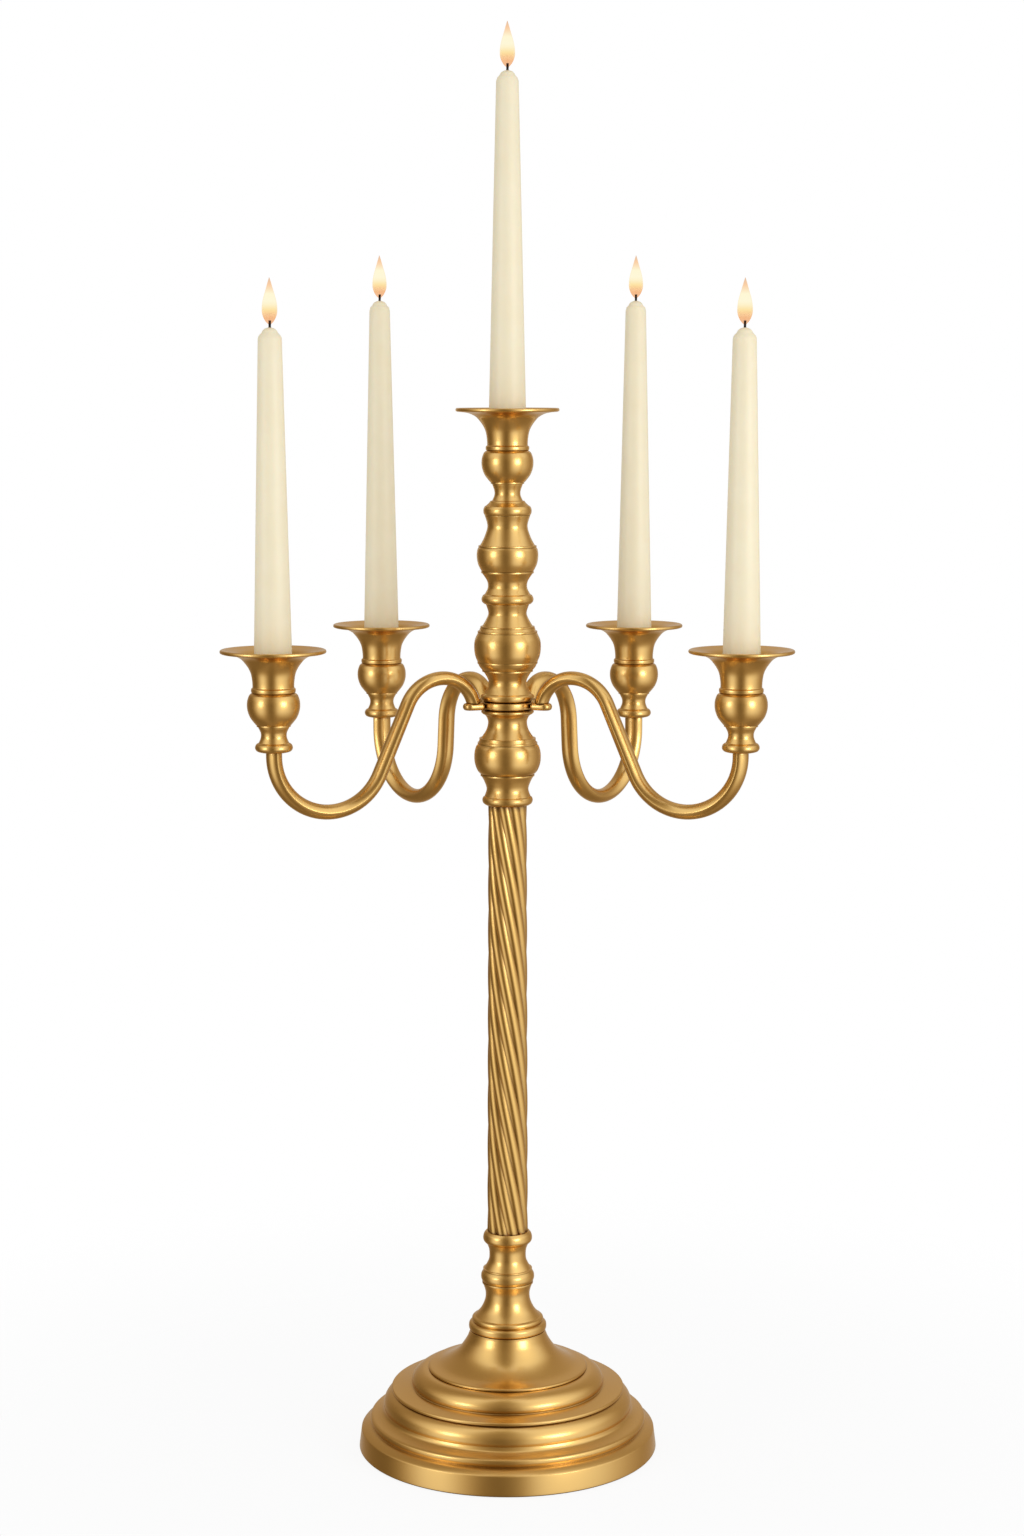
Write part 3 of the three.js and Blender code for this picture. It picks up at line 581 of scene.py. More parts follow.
STEM_FOOT_ROWS = [
    [[22.4, 0], [23.3, 0.9], [23.5, 2.4], [23.3, 3.9], [22.4, 5]],
    [[22.4, 5], [21, 5.4]],
    [[21, 5.4], [21.6, 6.6], [21.3, 7.8], [20.4, 8.5]],
    [[20.4, 8.5], [19.7, 8.7]],
    [[19.7, 8.7], [16.2, 12.8], [13.7, 18.4], [13.4, 23.6], [15, 29]],
    *line_ring(15, 29, 0.4),
    [[15.1, 30], [16, 32.2], [15.9, 34.8], [14.5, 37.2]],
    *line_ring(14.3, 37.2, 0.5),
    [[14, 38.2], [11.5, 43], [11, 46.5], [11.3, 50.2], [12.6, 53.8]],
    [[12.6, 53.8], [13.4, 54.2]],
    [[13.4, 54.2], [14.5, 55.6], [14.8, 57.4], [14.3, 59.6], [13, 61.3]],
]
LOWER_KNOP_ROWS = [
    [[13, 0], [14.5, 1.2], [15, 3], [14.5, 4.6]],
    [[14.5, 4.6], [13.7, 5.1]],
    [[13.7, 5.1], [12.4, 9.4], [13.6, 13.6], [15.5, 17.3]],
    *line_ring(15.5, 17.3),
    [[15.7, 18.3], [17.8, 20.6], [19.4, 25], [19.7, 30], [18.9, 34.2], [17.5, 36.4]],
    *line_ring(17.2, 36.4, 0.5),
    [[17, 37.4], [16.7, 38.8]],
    *line_ring(16.2, 38.8, 0.5, 1.2),
    [[15.6, 40], [12.6, 44.6], [11.5, 49.2], [12.4, 52.4], [13.8, 54]],
    [[13.8, 54], [14.6, 54.3]],
    [[14.6, 54.3], [15.5, 55.2], [15.5, 56.1]],
    [[15.5, 56.1], [14.2, 57]],
]
UPPER_KNOP_ROWS = [
    [[14.4, 0], [15.6, 0.9]],
    [[15.6, 0.9], [15.8, 1.8], [15.8, 2.8], [15.2, 3.8]],
    [[15.2, 3.8], [14.2, 4.3]],
    [[14.2, 4.3], [12.1, 7.6], [11.2, 11.2], [12.1, 14], [14.2, 17.4]],
    *line_ring(14.3, 17.4, 0.7, 0.9),
    [[14.9, 18.3], [16.6, 20.4], [17.4, 22.2]],
    *line_ring(17.4, 22.2, 0.4),
    [[17.7, 23.2], [19.2, 27.2], [19.7, 32.2], [19.2, 36.4], [17.4, 40.4]],
    *line_ring(17.1, 40.4, 0.5),
    [[16.7, 41.4], [16.2, 43.2]],
    *line_ring(15.4, 43.2, 0.6),
    [[14.9, 44.2], [12.2, 49], [11.3, 52.4], [12.8, 57.2]],
]
BALUSTER_ROWS = [
    [[13.6, 0], [15, 1.4], [15.3, 3.2], [14.5, 5.2]],
    [[14.5, 5.2], [13.4, 5.8]],
    [[13.4, 5.8], [11.9, 8.6], [11.5, 11], [12.2, 14], [15, 18.2]],
    *line_ring(15, 18.2),
    [[15.2, 19.2], [17.3, 23.4], [18.1, 28.2], [17.7, 32], [16.9, 33.4]],
    *line_ring(16.6, 33.4, 0.5),
    [[16.2, 34.4], [13.8, 38.9], [11.9, 44.6], [12.1, 48], [13.4, 52]],
]


# %% Turn the stem
def stem_piece(name, rows, foot, node):
    """Turn one part of the stem, bored through for the rod."""
    points = outline(rows)
    bored = [(STEM_BORE, points[0][1]), *points, (STEM_BORE, points[-1][1])]
    piece = turned(name, bored, foot)
    hand_over(piece, brass, "root", "brass", node)


shaft_low, shaft_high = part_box("twisted_shaft")
hub_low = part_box("hub_ring")[0]
upper_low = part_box("upper_knop")[0]
baluster_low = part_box("middle_baluster")[0]
stem_piece("turned_stem_foot", STEM_FOOT_ROWS, base_high.z + SEAM, "stem_foot")
stem_piece("turned_lower_knop", LOWER_KNOP_ROWS, shaft_high.z + SEAM, "lower_knop")
stem_piece("turned_upper_knop", UPPER_KNOP_ROWS, upper_low.z, "upper_knop")
stem_piece("turned_baluster", BALUSTER_ROWS, baluster_low.z, "middle_baluster")

# %% [markdown]
# The hub ring
#
# The arms grow from a thin ring that turns on the lower knop, with a narrow dark gap above and below
# it. It is turned like the stem, because the ring is the only link between the arms.

# %% Hub ring
HUB_BORE = 8.3
HUB_RADIUS = 15.5
HUB_ROWS = [
    [[HUB_BORE, 0], [14.5, 0]],
    [[14.5, 0], [15.3, 0.5], [HUB_RADIUS, 1.2]],
    [[HUB_RADIUS, 1.2], [HUB_RADIUS, 3.2]],
    [[HUB_RADIUS, 3.2], [15.3, 3.9], [14.5, 4.4]],
    [[14.5, 4.4], [HUB_BORE, 4.4]],
]
hub = turned("turned_hub_ring", outline(HUB_ROWS, steps=4), hub_low.z)
hand_over(hub, brass, "arms", "brass", "hub_ring")

# %% [markdown]
# The twisted shaft
#
# Ten rounded flutes wind up the shaft like the strands of a rope. The shaft starts as a circle whose
# points are pushed in at the grooves. It is extruded straight up in short steps, and two Simple
# Deform modifiers then twist and taper it, because that keeps every flute alike all the way up.

# %% Shaft
FLUTES = 10
FLUTE_DEPTH = 1.25
FLUTE_POINTS = 16
SHAFT_FOOT_RADIUS = 12.25
SHAFT_HEAD_RADIUS = 11.5
TWIST_PITCH = 263
SHAFT_STEPS = 130
TUBE_WALL = 2.2
CREASE_ANGLE = math.radians(24)  # sharper than this, a groove stays a crease


def flute_dent(turn):
    """How far a point of the section lies inside the crest: broad round ridges that meet in a crease."""
    across = 2 * ((turn * FLUTES) % 1) - 1
    return FLUTE_DEPTH * across ** 2


def fluted_circle():
    count = FLUTES * FLUTE_POINTS
    deselect()
    bpy.ops.mesh.primitive_circle_add(vertices=count, radius=SHAFT_FOOT_RADIUS * MM)
    piece = name_new("rope_twist_shaft")
    for i, vertex in enumerate(piece.data.vertices):
        vertex.co *= 1 - flute_dent(i / count) / SHAFT_FOOT_RADIUS
    return piece


def wind(piece, method, **settings):
    """Apply one Simple Deform modifier along the Z axis."""
    select_only(piece)
    deform = piece.modifiers.new(method.lower(), "SIMPLE_DEFORM")
    deform.deform_method = method
    deform.deform_axis = "Z"
    for key, value in settings.items():
        setattr(deform, key, value)
    bpy.ops.object.modifier_apply(modifier=deform.name)


def twisted_shaft(low, high):
    piece = fluted_circle()
    length = high - low
    bpy.ops.object.mode_set(mode="EDIT")
    bpy.ops.mesh.select_all(action="SELECT")
    for _ in range(SHAFT_STEPS):
        bpy.ops.mesh.extrude_region_move(TRANSFORM_OT_translate={"value": (0, 0, length / SHAFT_STEPS)})
    bpy.ops.object.mode_set(mode="OBJECT")
    along = piece.data.attributes.new("along", "FLOAT", "POINT")
    for vertex, mark in zip(piece.data.vertices, along.data):
        mark.value = vertex.co.z
    wind(piece, "TWIST", angle=-2 * math.pi * length / (TWIST_PITCH * MM))
    wind(piece, "TAPER", factor=SHAFT_HEAD_RADIUS / SHAFT_FOOT_RADIUS - 1)
    piece.location.z = low
    apply_place(piece)
    clean_mesh(piece)
    wall = piece.modifiers.new("tube_wall", "SOLIDIFY")
    wall.thickness = TUBE_WALL * MM
    wall.offset = -1
    bpy.ops.object.modifier_apply(modifier=wall.name)
    bpy.ops.object.shade_smooth_by_angle(angle=CREASE_ANGLE)
    return piece


shaft = twisted_shaft(shaft_low.z, shaft_high.z)
hand_over(shaft, shaded_fluted_brass, "root", "brass", "twisted_shaft")

# %% [markdown]
# The cups
#
# Each cup is turned in one piece: a neck, a ball, a bead, and a flared dish with a thin rim that
# catches wax. The four side cups stand on a small foot ring where the arm enters, and the centre cup
# ends the stem. The side cup is turned once, as a pattern, and copied to its four places.

# %% Cup outlines, with heights over the candle's seat
CUP_BORE = 3.4
SOCKET_RADIUS = 10.7
CUP_RIM_HEIGHT = 30.5
CUP_ROWS = [
    [[10.2, -12.6], [13.4, -8.4], [15, -3.8], [15.1, 0.6], [14, 4.2], [12.6, 5.6]],
    [[12.6, 5.6], [12.1, 5.7]],
    [[12.1, 5.7], [12.7, 6.3], [12.7, 8], [12.1, 8.6]],
    [[12.1, 8.6], [11.9, 9]],
    [[11.9, 9], [12, 12], [12.7, 16.5], [14.2, 20], [16.7, 23.5], [18.9, 25.6], [22.4, 27.3], [25.9, 28]],
    [[25.9, 28], [29.4, 28.3]],
    [[29.4, 28.3], [30.2, 28.7], [30.4, 29.4], [30.2, 30.1], [29.6, CUP_RIM_HEIGHT]],
    [[29.6, CUP_RIM_HEIGHT], [28.6, 30.3]],
    [[28.6, 30.3], [25.2, 29.4], [21.3, 28.4], [17.7, 26.5], [13.7, 22.3], [11.5, 17.7], [10.8, 13]],
    [[10.8, 13], [SOCKET_RADIUS, 0]],
    [[SOCKET_RADIUS, 0], [CUP_BORE, -2]],
]
CENTRE_STAND_ROWS = [
    [[CUP_BORE, -32], [13.4, -32]],
    [[13.4, -32], [14.1, -30.4], [14.1, -28.4], [13.4, -26.8]],
    [[13.4, -26.8], [12.4, -26.2]],
    [[12.4, -26.2], [10.9, -24.8], [10, -23.6]],
    [[10, -23.6], [9, -23.4]],
    [[9, -23.4], [7.7, -20.4], [7.7, -17.6], [8.8, -14.4]],
    *line_ring(9, -13.6, 0.8),
]
SIDE_STAND_ROWS = [
    [[CUP_BORE, -28.5], [7.4, -28.5]],
    [[7.4, -28.5], [9.7, -27.8], [10.8, -26.2], [10.5, -24.4], [9.6, -23.4]],
    [[9.6, -23.4], [8.7, -23]],
    [[8.7, -23], [7.5, -20], [7.5, -17.2], [8.8, -14.4]],
    *line_ring(9, -13.6, 0.8),
]


# %% Turn the cups
centre_cup_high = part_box("candle_cup_centre")[1]
centre_cup = turned(
    "turned_cup_centre",
    outline(CENTRE_STAND_ROWS + CUP_ROWS),
    centre_cup_high.z - CUP_RIM_HEIGHT * MM,
)
hand_over(centre_cup, brass, "root", "brass", "candle_cup_centre")
side_cup = turned("side_cup_pattern", outline(SIDE_STAND_ROWS + CUP_ROWS))
cup_axis = {}
for place in PLACES:
    low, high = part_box(f"candle_cup_{place}")
    middle = (low + high) / 2
    seat = Vector((middle.x, middle.y, high.z - CUP_RIM_HEIGHT * MM))
    cup_axis[place] = seat
    cup = place_copy(side_cup, f"turned_cup_{place}", seat)
    hand_over(cup, brass, "arms", "brass", f"candle_cup_{place}")
drop(side_cup)
cup_axis["centre"] = Vector((0, 0, centre_cup_high.z - CUP_RIM_HEIGHT * MM))

# %% [markdown]
# The arms
#
# Each arm is a rod of almond section that rises from its shoe, rolls over a crest, runs down a slope
# and turns up through a bowl into its cup. The back pair has a lower crest and a deeper bowl than
# the front pair. A rod starts as a section at the cup's end, and the spin operator carries that
# section round each arc in turn. The two arrises of the section are only broken by 0.3 mm, because
# they draw the thin bright line along the arm.

# %% Arm sizes
ARM_REACH = 146.3
ARM_FOOT_REACH = 22.0
ARM_DROP = 18.7  # from the shoe's underside down to the arm's end in its cup
SHOE_THICKNESS = 4.3
CREST_INNER_RADIUS = 20.0
ARM_STUB = 3.0
ARM_HALF_THICKNESS = 4.05
ARM_HALF_WIDTH = 5.5
ARM_FOOT_SCALE = 0.98
ARM_CUP_SCALE = 1.12
ARRIS_WIDTH = 0.3
SECTION_POINTS = 14  # on each half of the almond
TAIL_STEPS, BOWL_STEPS, SLOPE_STEPS, CREST_STEPS, STUB_STEPS = 3, 44, 8, 16, 2
FRONT_CURVE = {"rise": 15.4, "outer": 24.1, "angle": math.radians(66.1), "slope": 44.2}
BACK_CURVE = {"rise": 10.5, "outer": 29.0, "angle": math.radians(86), "slope": 16.7}


# %% Arm rod
def almond_section(height):
    """A flat ring of points on two shallow arcs that meet in an arris on each side."""
    width, thick = ARM_HALF_WIDTH, ARM_HALF_THICKNESS
    radius = (width ** 2 + thick ** 2) / (2 * thick)
    tilt = math.acos(width / radius)
    deselect()
    bpy.ops.mesh.primitive_circle_add(
        vertices=2 * SECTION_POINTS, radius=width * MM, location=(ARM_REACH * MM, 0, height)
    )
    piece = name_new("arm_pattern")
    for i, vertex in enumerate(piece.data.vertices):
        side = 1 if i < SECTION_POINTS else -1
        angle = tilt + (math.pi - 2 * tilt) * (i % SECTION_POINTS) / SECTION_POINTS
        lift = radius * math.sin(angle) - (radius - thick)
        vertex.co = Vector((side * lift, side * radius * math.cos(angle), 0)) * MM
    return piece


def sweep_arc(centre_x, centre_z, angle, steps):
    """Spin the open end of the rod round an arc in the arm's plane."""
    bpy.ops.mesh.spin(
        steps=steps, angle=angle, center=(centre_x * MM, 0, hub_low.z + centre_z * MM), axis=(0, -1, 0)
    )


def sweep_line(rise_x, rise_z, steps):
    """Extrude the open end of the rod along a straight stretch."""
    step = Vector((rise_x, 0, rise_z)) * MM / steps
    for _ in range(steps):
        bpy.ops.mesh.extrude_region_move(TRANSFORM_OT_translate={"value": step})


def swept_rod(curve):
    """Carry the section from the cup down through the bowl, up the slope and over the crest."""
    rise, outer, angle, slope = curve["rise"], curve["outer"], curve["angle"], curve["slope"]
    foot_angle = math.acos(1 - rise / CREST_INNER_RADIUS)
    crest_x = ARM_FOOT_REACH + CREST_INNER_RADIUS * math.sin(foot_angle)
    crest_z = SHOE_THICKNESS + rise
    slope_x = crest_x + outer * math.sin(angle) + slope * math.cos(angle)
    slope_z = crest_z - outer * (1 - math.cos(angle)) - slope * math.sin(angle)
    bowl = (ARM_REACH - slope_x) / (1 + math.sin(angle))
    bowl_z = slope_z + bowl * math.cos(angle)
    rod = almond_section(hub_low.z - ARM_DROP * MM)
    bpy.ops.object.mode_set(mode="EDIT")
    bpy.ops.mesh.select_all(action="SELECT")
    sweep_line(0, bowl_z + ARM_DROP, TAIL_STEPS)
    sweep_arc(ARM_REACH - bowl, bowl_z, math.pi / 2 + angle, BOWL_STEPS)
    sweep_line(-slope * math.cos(angle), slope * math.sin(angle), SLOPE_STEPS)
    sweep_arc(crest_x, crest_z - outer, -angle, CREST_STEPS)
    sweep_arc(crest_x, crest_z - CREST_INNER_RADIUS, -foot_angle, CREST_STEPS)
    sweep_line(-ARM_STUB * math.cos(foot_angle), -ARM_STUB * math.sin(foot_angle), STUB_STEPS)
    bpy.ops.object.mode_set(mode="OBJECT")
    apply_place(rod)
    return rod


def taper_rod(rod):
    """Thin the rod ring by ring from the cup to the foot, and note the length along it."""
    count = 2 * SECTION_POINTS
    points = rod.data.vertices
    rings = [[points[i + k] for k in range(count)] for i in range(0, len(points), count)]
    middles = [sum((v.co for v in ring), Vector()) / count for ring in rings]
    lengths = [0.0]
    for here, there in zip(middles, middles[1:]):
        lengths.append(lengths[-1] + (there - here).length)
    along = rod.data.attributes.new("along", "FLOAT", "POINT")
    for ring, middle, length in zip(rings, middles, lengths):
        share = length / lengths[-1]
        size = ARM_CUP_SCALE + (ARM_FOOT_SCALE - ARM_CUP_SCALE) * share
        for vertex in ring:
            vertex.co = middle + (vertex.co - middle) * size
            along.data[vertex.index].value = length
    print("arm rod rings", len(rings), "length in mm", round(lengths[-1] / MM, 1))


def cut_foot(rod):
    """Cut the rod flush on its shoe and close both ends."""
    shoe_top = hub_low.z + SHOE_THICKNESS * MM
    select_only(rod)
    bpy.ops.object.mode_set(mode="EDIT")
    bpy.ops.mesh.select_all(action="SELECT")
    bpy.ops.mesh.bisect(
        plane_co=(0, 0, shoe_top + SEAM), plane_no=(0, 0, 1), threshold=SEAM / 100
    )
    bpy.ops.mesh.select_all(action="DESELECT")
    bpy.ops.object.mode_set(mode="OBJECT")
    for vertex in rod.data.vertices:
        under_cut = vertex.co.z < shoe_top + 0.9 * SEAM
        at_foot = vertex.co.x < 2 * ARM_FOOT_REACH * MM  # the bowl hangs under the cut too, and stays
        vertex.select = under_cut and at_foot
    bpy.ops.object.mode_set(mode="EDIT")
    bpy.ops.mesh.delete(type="VERT")
    bpy.ops.mesh.select_all(action="SELECT")
    bpy.ops.mesh.fill_holes(sides=0)
    bpy.ops.object.mode_set(mode="OBJECT")


def arm_pattern(curve):
    rod = swept_rod(curve)
    taper_rod(rod)
    cut_foot(rod)
    clean_mesh(rod)
    soften_edges(rod, ARRIS_WIDTH, sharpest=35)
    return rod


arms = {"front": arm_pattern(FRONT_CURVE), "back": arm_pattern(BACK_CURVE)}

# %% [markdown]
# The arm shoes
#
# Each arm stands on a small flat foot with a round outer end, butted against the hub ring. The foot
# is a casting, filed soft all round: its outline is drawn flat and extruded, and a wide bevel then
# rounds the edges.

# %% Arm shoe
SHOE_HALF_WIDTH = 4.5
SHOE_TOE = 6.3
SHOE_GAP = 0.3  # between the shoe's back and the ring
SHOE_EDGE = 2.0


def arm_shoe():
    """A round end extruded back to the ring, then raised to its thickness."""
    end = ARM_FOOT_REACH + SHOE_TOE - SHOE_HALF_WIDTH
    deselect()
    bpy.ops.mesh.primitive_circle_add(
        vertices=48, radius=SHOE_HALF_WIDTH * MM, fill_type="NGON", location=(end * MM, 0, hub_low.z)
    )
    piece = name_new("shoe_pattern")
    back = (HUB_RADIUS + SHOE_GAP - end) * MM
    for vertex in piece.data.vertices:
        if vertex.co.x < 0:
            vertex.co.x = back
    bpy.ops.object.mode_set(mode="EDIT")
    bpy.ops.mesh.select_all(action="SELECT")
    bpy.ops.mesh.dissolve_limited(angle_limit=math.radians(1))
    bpy.ops.mesh.extrude_region_move(TRANSFORM_OT_translate={"value": (0, 0, SHOE_THICKNESS * MM)})
    bpy.ops.object.mode_set(mode="OBJECT")
    apply_place(piece)
    clean_mesh(piece)
    along = piece.data.attributes.new("along", "FLOAT", "POINT")
    for vertex, mark in zip(piece.data.vertices, along.data):
        mark.value = vertex.co.z + vertex.co.x  # so that the hair lines run across the shoe
    soften_edges(piece, SHOE_EDGE, segments=6)
    return piece


shoe = arm_shoe()
for place in PLACES:
    turn = math.atan2(cup_axis[place].y, cup_axis[place].x)
    rod = place_copy(arms[place.split("_")[0]], f"scroll_arm_{place}", turn=turn)
    hand_over(rod, brass, "arms", "brass", f"arm_{place}")
    foot = place_copy(shoe, f"shoe_of_arm_{place}", turn=turn)
    hand_over(foot, brass, "arms", "brass", f"arm_shoe_{place}")
drop(arms["front"])
drop(arms["back"])
drop(shoe)

# %% [markdown]
# The tapers
#
# A taper is dipped, so it thins evenly towards its top, where the burning has left a low cone round
# the wick. Its butt plugs into the cup. It is turned from an outline like the brass, because that
# gives the taper, the shoulder and the cone in one skin. The wick is a thin rod of braided cotton.

# %% Tapers
BUTT_RADIUS = 10.4
BUTT_LENGTH = 20.5
BUTT_CHAMFER = 0.6
CANDLE_RADIUS = 11.0
CANDLE_TAPER = 0.0222
TOP_SHOULDER = 4.7
WICK_HOLE_RADIUS = 0.9
WICK_HOLE_DEPTH = 8
AXIS_GAP = 0.3  # the spin leaves this radius open, so that no faces collapse on the axis
WICK_RADIUS = 0.75
WICK_STEPS = 12
WICK_SWELL = 1.08  # how much the braid swells and shrinks from step to step
WICK_LEAN = 0.02


def taper_rows(length):
    """The outline of a taper, from its wick hole down the axis, out and up to the burnt top."""
    top = CANDLE_RADIUS - CANDLE_TAPER * (length - BUTT_LENGTH)
    shoulder = length - TOP_SHOULDER
    hole_floor = length - WICK_HOLE_DEPTH
    butt_end = BUTT_RADIUS - BUTT_CHAMFER
    return [
        [[WICK_HOLE_RADIUS, hole_floor], [AXIS_GAP, hole_floor]],
        [[AXIS_GAP, hole_floor], [AXIS_GAP, 0]],
        [[AXIS_GAP, 0], [butt_end, 0]],
        [[butt_end, 0], [BUTT_RADIUS, BUTT_CHAMFER]],
        [[BUTT_RADIUS, BUTT_CHAMFER], [BUTT_RADIUS, BUTT_LENGTH - 1]],
        [[BUTT_RADIUS, BUTT_LENGTH - 1], [CANDLE_RADIUS, BUTT_LENGTH]],
        [[CANDLE_RADIUS, BUTT_LENGTH], [top, shoulder - 0.6]],
        [[top, shoulder - 0.6], [top - 0.3, shoulder + 0.3], [5.9, length - 3.4]],
        [[5.9, length - 3.4], [4.6, length - 2.1]],
        [[4.6, length - 2.1], [3.9, length - 0.8], [2.6, length + 0.2], [WICK_HOLE_RADIUS, length + 0.8]],
    ]


def wick_rod(name, foot, top, axis):
    """A thin charred braid, bent a little at its tip."""
    deselect()
    bpy.ops.mesh.primitive_circle_add(
        vertices=12, radius=WICK_RADIUS * MM, fill_type="NGON", location=(axis.x, axis.y, foot)
    )
    piece = name_new(name)
    bpy.ops.object.mode_set(mode="EDIT")
    bpy.ops.mesh.select_all(action="SELECT")
    for i in range(WICK_STEPS):
        lean = WICK_LEAN * MM if i > WICK_STEPS / 2 else 0
        bpy.ops.mesh.extrude_region_move(
            TRANSFORM_OT_translate={"value": (lean, 0, (top - foot) / WICK_STEPS)}
        )
        swell = WICK_SWELL if i % 2 else 1 / WICK_SWELL
        bpy.ops.transform.resize(value=(swell, swell, 1))
    bpy.ops.object.mode_set(mode="OBJECT")
    apply_place(piece)
    clean_mesh(piece, WELD / 4)
    bpy.ops.object.shade_smooth_by_angle(angle=math.radians(50))
    return piece

# %% [markdown]
# The shape of a flame
#
# A still candle flame is a slim drop, widest low down and drawn out to a point. It is round, so its
# three shells are turned as well, all from one outline that is made a little smaller each time.

# %% Flames
FLAME_OUTLINE = [
    [0.05, 0], [1.1, 0.6], [2.4, 2], [3.5, 4], [4.25, 6.4], [4.4, 9], [4.15, 12], [3.4, 15.4], [2.5, 18.4],
    [1.6, 21.4], [0.85, 24], [0.05, 26.4],
]
FLAME_HEIGHT = FLAME_OUTLINE[-1][1]
FLAME_SIDES = 32
FLAME_BELLY = 9  # height of the widest place
FLAME_GAP = 2.3 * MM  # from the wax to the flame's foot
FLAME_SHELLS = ((1.0, mantle_gas), (0.93, belly_gas), (0.78, heart_gas))


def flame(name, foot, axis, body):
    """Shells inside each other, drawn in towards the belly from the same outline."""
    for i, (size, gas) in enumerate(FLAME_SHELLS):
        row = [
            [radius * size, FLAME_BELLY + (height - FLAME_BELLY) * size]
            for radius, height in FLAME_OUTLINE
        ]
        shell = turned(f"{name}_shell_{i}", outline([row], steps=5), foot, sides=FLAME_SIDES)
        rise = shell.data.attributes.new("rise", "FLOAT", "POINT")
        for vertex, mark in zip(shell.data.vertices, rise.data):
            mark.value = (vertex.co.z - foot) / (FLAME_HEIGHT * MM)
        shell.location = (axis.x, axis.y, 0)
        apply_place(shell)
        hand_over(shell, gas, body, None)


# %% Dip and light the tapers
for place, seat in cup_axis.items():
    low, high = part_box(f"candle_{place}")
    length = (high.z - low.z) / MM
    taper = turned(f"wax_taper_{place}", outline(taper_rows(length)), low.z, crisp=0.1)
    taper.location = (seat.x, seat.y, 0)
    apply_place(taper)
    hand_over(taper, wax, f"taper_{place}", "wax", f"candle_{place}")
    wick_low, wick_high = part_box(f"wick_{place}")
    wick = wick_rod(f"braided_wick_{place}", wick_low.z, wick_high.z, seat)
    hand_over(wick, charred_cotton, f"taper_{place}", "wick", f"wick_{place}")
    flame(f"flame_{place}", high.z + FLAME_GAP, seat, f"taper_{place}")

# %% [markdown]
# The pieces inside
#
# The felt, the ballast and the fasteners keep the shapes of the frame and only get their finish.

# %% Finish the inner pieces
INNER_FINISHES = {"felt_pad": wool_felt, "base_ballast": cast_iron}
for name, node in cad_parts.items():
    if not node.hide_render:
        finish = INNER_FINISHES.get(name, machined_steel)
        node.data.materials.clear()
        node.data.materials.append(finish)
        print(name, "is finished in", finish.name)

# %% [markdown]
# The floor
#
# The candelabra stands on pale studio paper that fades into a white background. Paper alone would
# look grey round the base, so to the camera it is mostly plain white, and the rest of it takes the
# light and keeps the soft shadow of the base.

# %% Floor
FLOOR_RADIUS = 1.2
FADE_START, FADE_END = 0.2, 0.6  # where the paper starts to fade into the white, and where it is gone
FLOOR_GLOW = 0.9  # the share of plain white in the paper, which keeps the shadow faint


def studio_floor():
    deselect()
    bpy.ops.mesh.primitive_circle_add(vertices=96, radius=FLOOR_RADIUS, fill_type="NGON")
    floor = name_new("studio_floor")
    material = new_material("pale_paper_sweep")
    tree = material.node_tree
    place = add_node(tree, "ShaderNodeTexCoord").outputs["Object"]
    reach = add_node(tree, "ShaderNodeVectorMath", {0: place}, operation="LENGTH")
    fade = add_node(
        tree, "ShaderNodeMapRange",
        {"Value": reach.outputs["Value"], "From Min": FADE_START, "From Max": FADE_END},
        interpolation_type="SMOOTHSTEP",
    )
    ray = add_node(tree, "ShaderNodeLightPath").outputs
    seen = add_node(
        tree, "ShaderNodeMath", {0: ray["Is Camera Ray"], 1: ray["Is Transmission Ray"]}, operation="MAXIMUM"
    )
    share = add_node(tree, "ShaderNodeMath", {0: seen.outputs[0], 1: FLOOR_GLOW}, operation="MULTIPLY")
    paper = add_node(tree, "ShaderNodeBsdfDiffuse", {"Color": linear("#F6F6F6")})
    white = add_node(tree, "ShaderNodeEmission", {"Color": linear("#FFFFFF"), "Strength": 1.0})
    lit = add_node(
        tree, "ShaderNodeMixShader", {0: share.outputs[0], 1: paper.outputs[0], 2: white.outputs[0]}
    )
    clear = add_node(tree, "ShaderNodeBsdfTransparent")
    passed = add_node(
        tree, "ShaderNodeMath", {0: ray["Is Glossy Ray"], 1: ray["Is Shadow Ray"]}, operation="MAXIMUM"
    )
    hidden = add_node(
        tree, "ShaderNodeMath", {0: passed.outputs[0], 1: fade.outputs[0]}, operation="MAXIMUM"
    )
    shader = add_node(
        tree, "ShaderNodeMixShader", {0: hidden.outputs[0], 1: lit.outputs[0], 2: clear.outputs[0]}
    )
    add_node(tree, "ShaderNodeOutputMaterial", {"Surface": shader.outputs[0]})
    floor.data.materials.append(material)
    print(floor.name, "radius in metres", FLOOR_RADIUS)


studio_floor()

# %% [markdown]
# What the brass mirrors
#
# Satin brass shows its surroundings as soft bands. In a studio those are screens, dark cloths and
# paper. Here the world is painted with them as two rings of tones round the stem, one at eye level
# and one higher up: a pale screen on each side of the camera, a dark front and dark flanks, and
# greyer paper behind. Only reflections see the rings, so the background stays white.

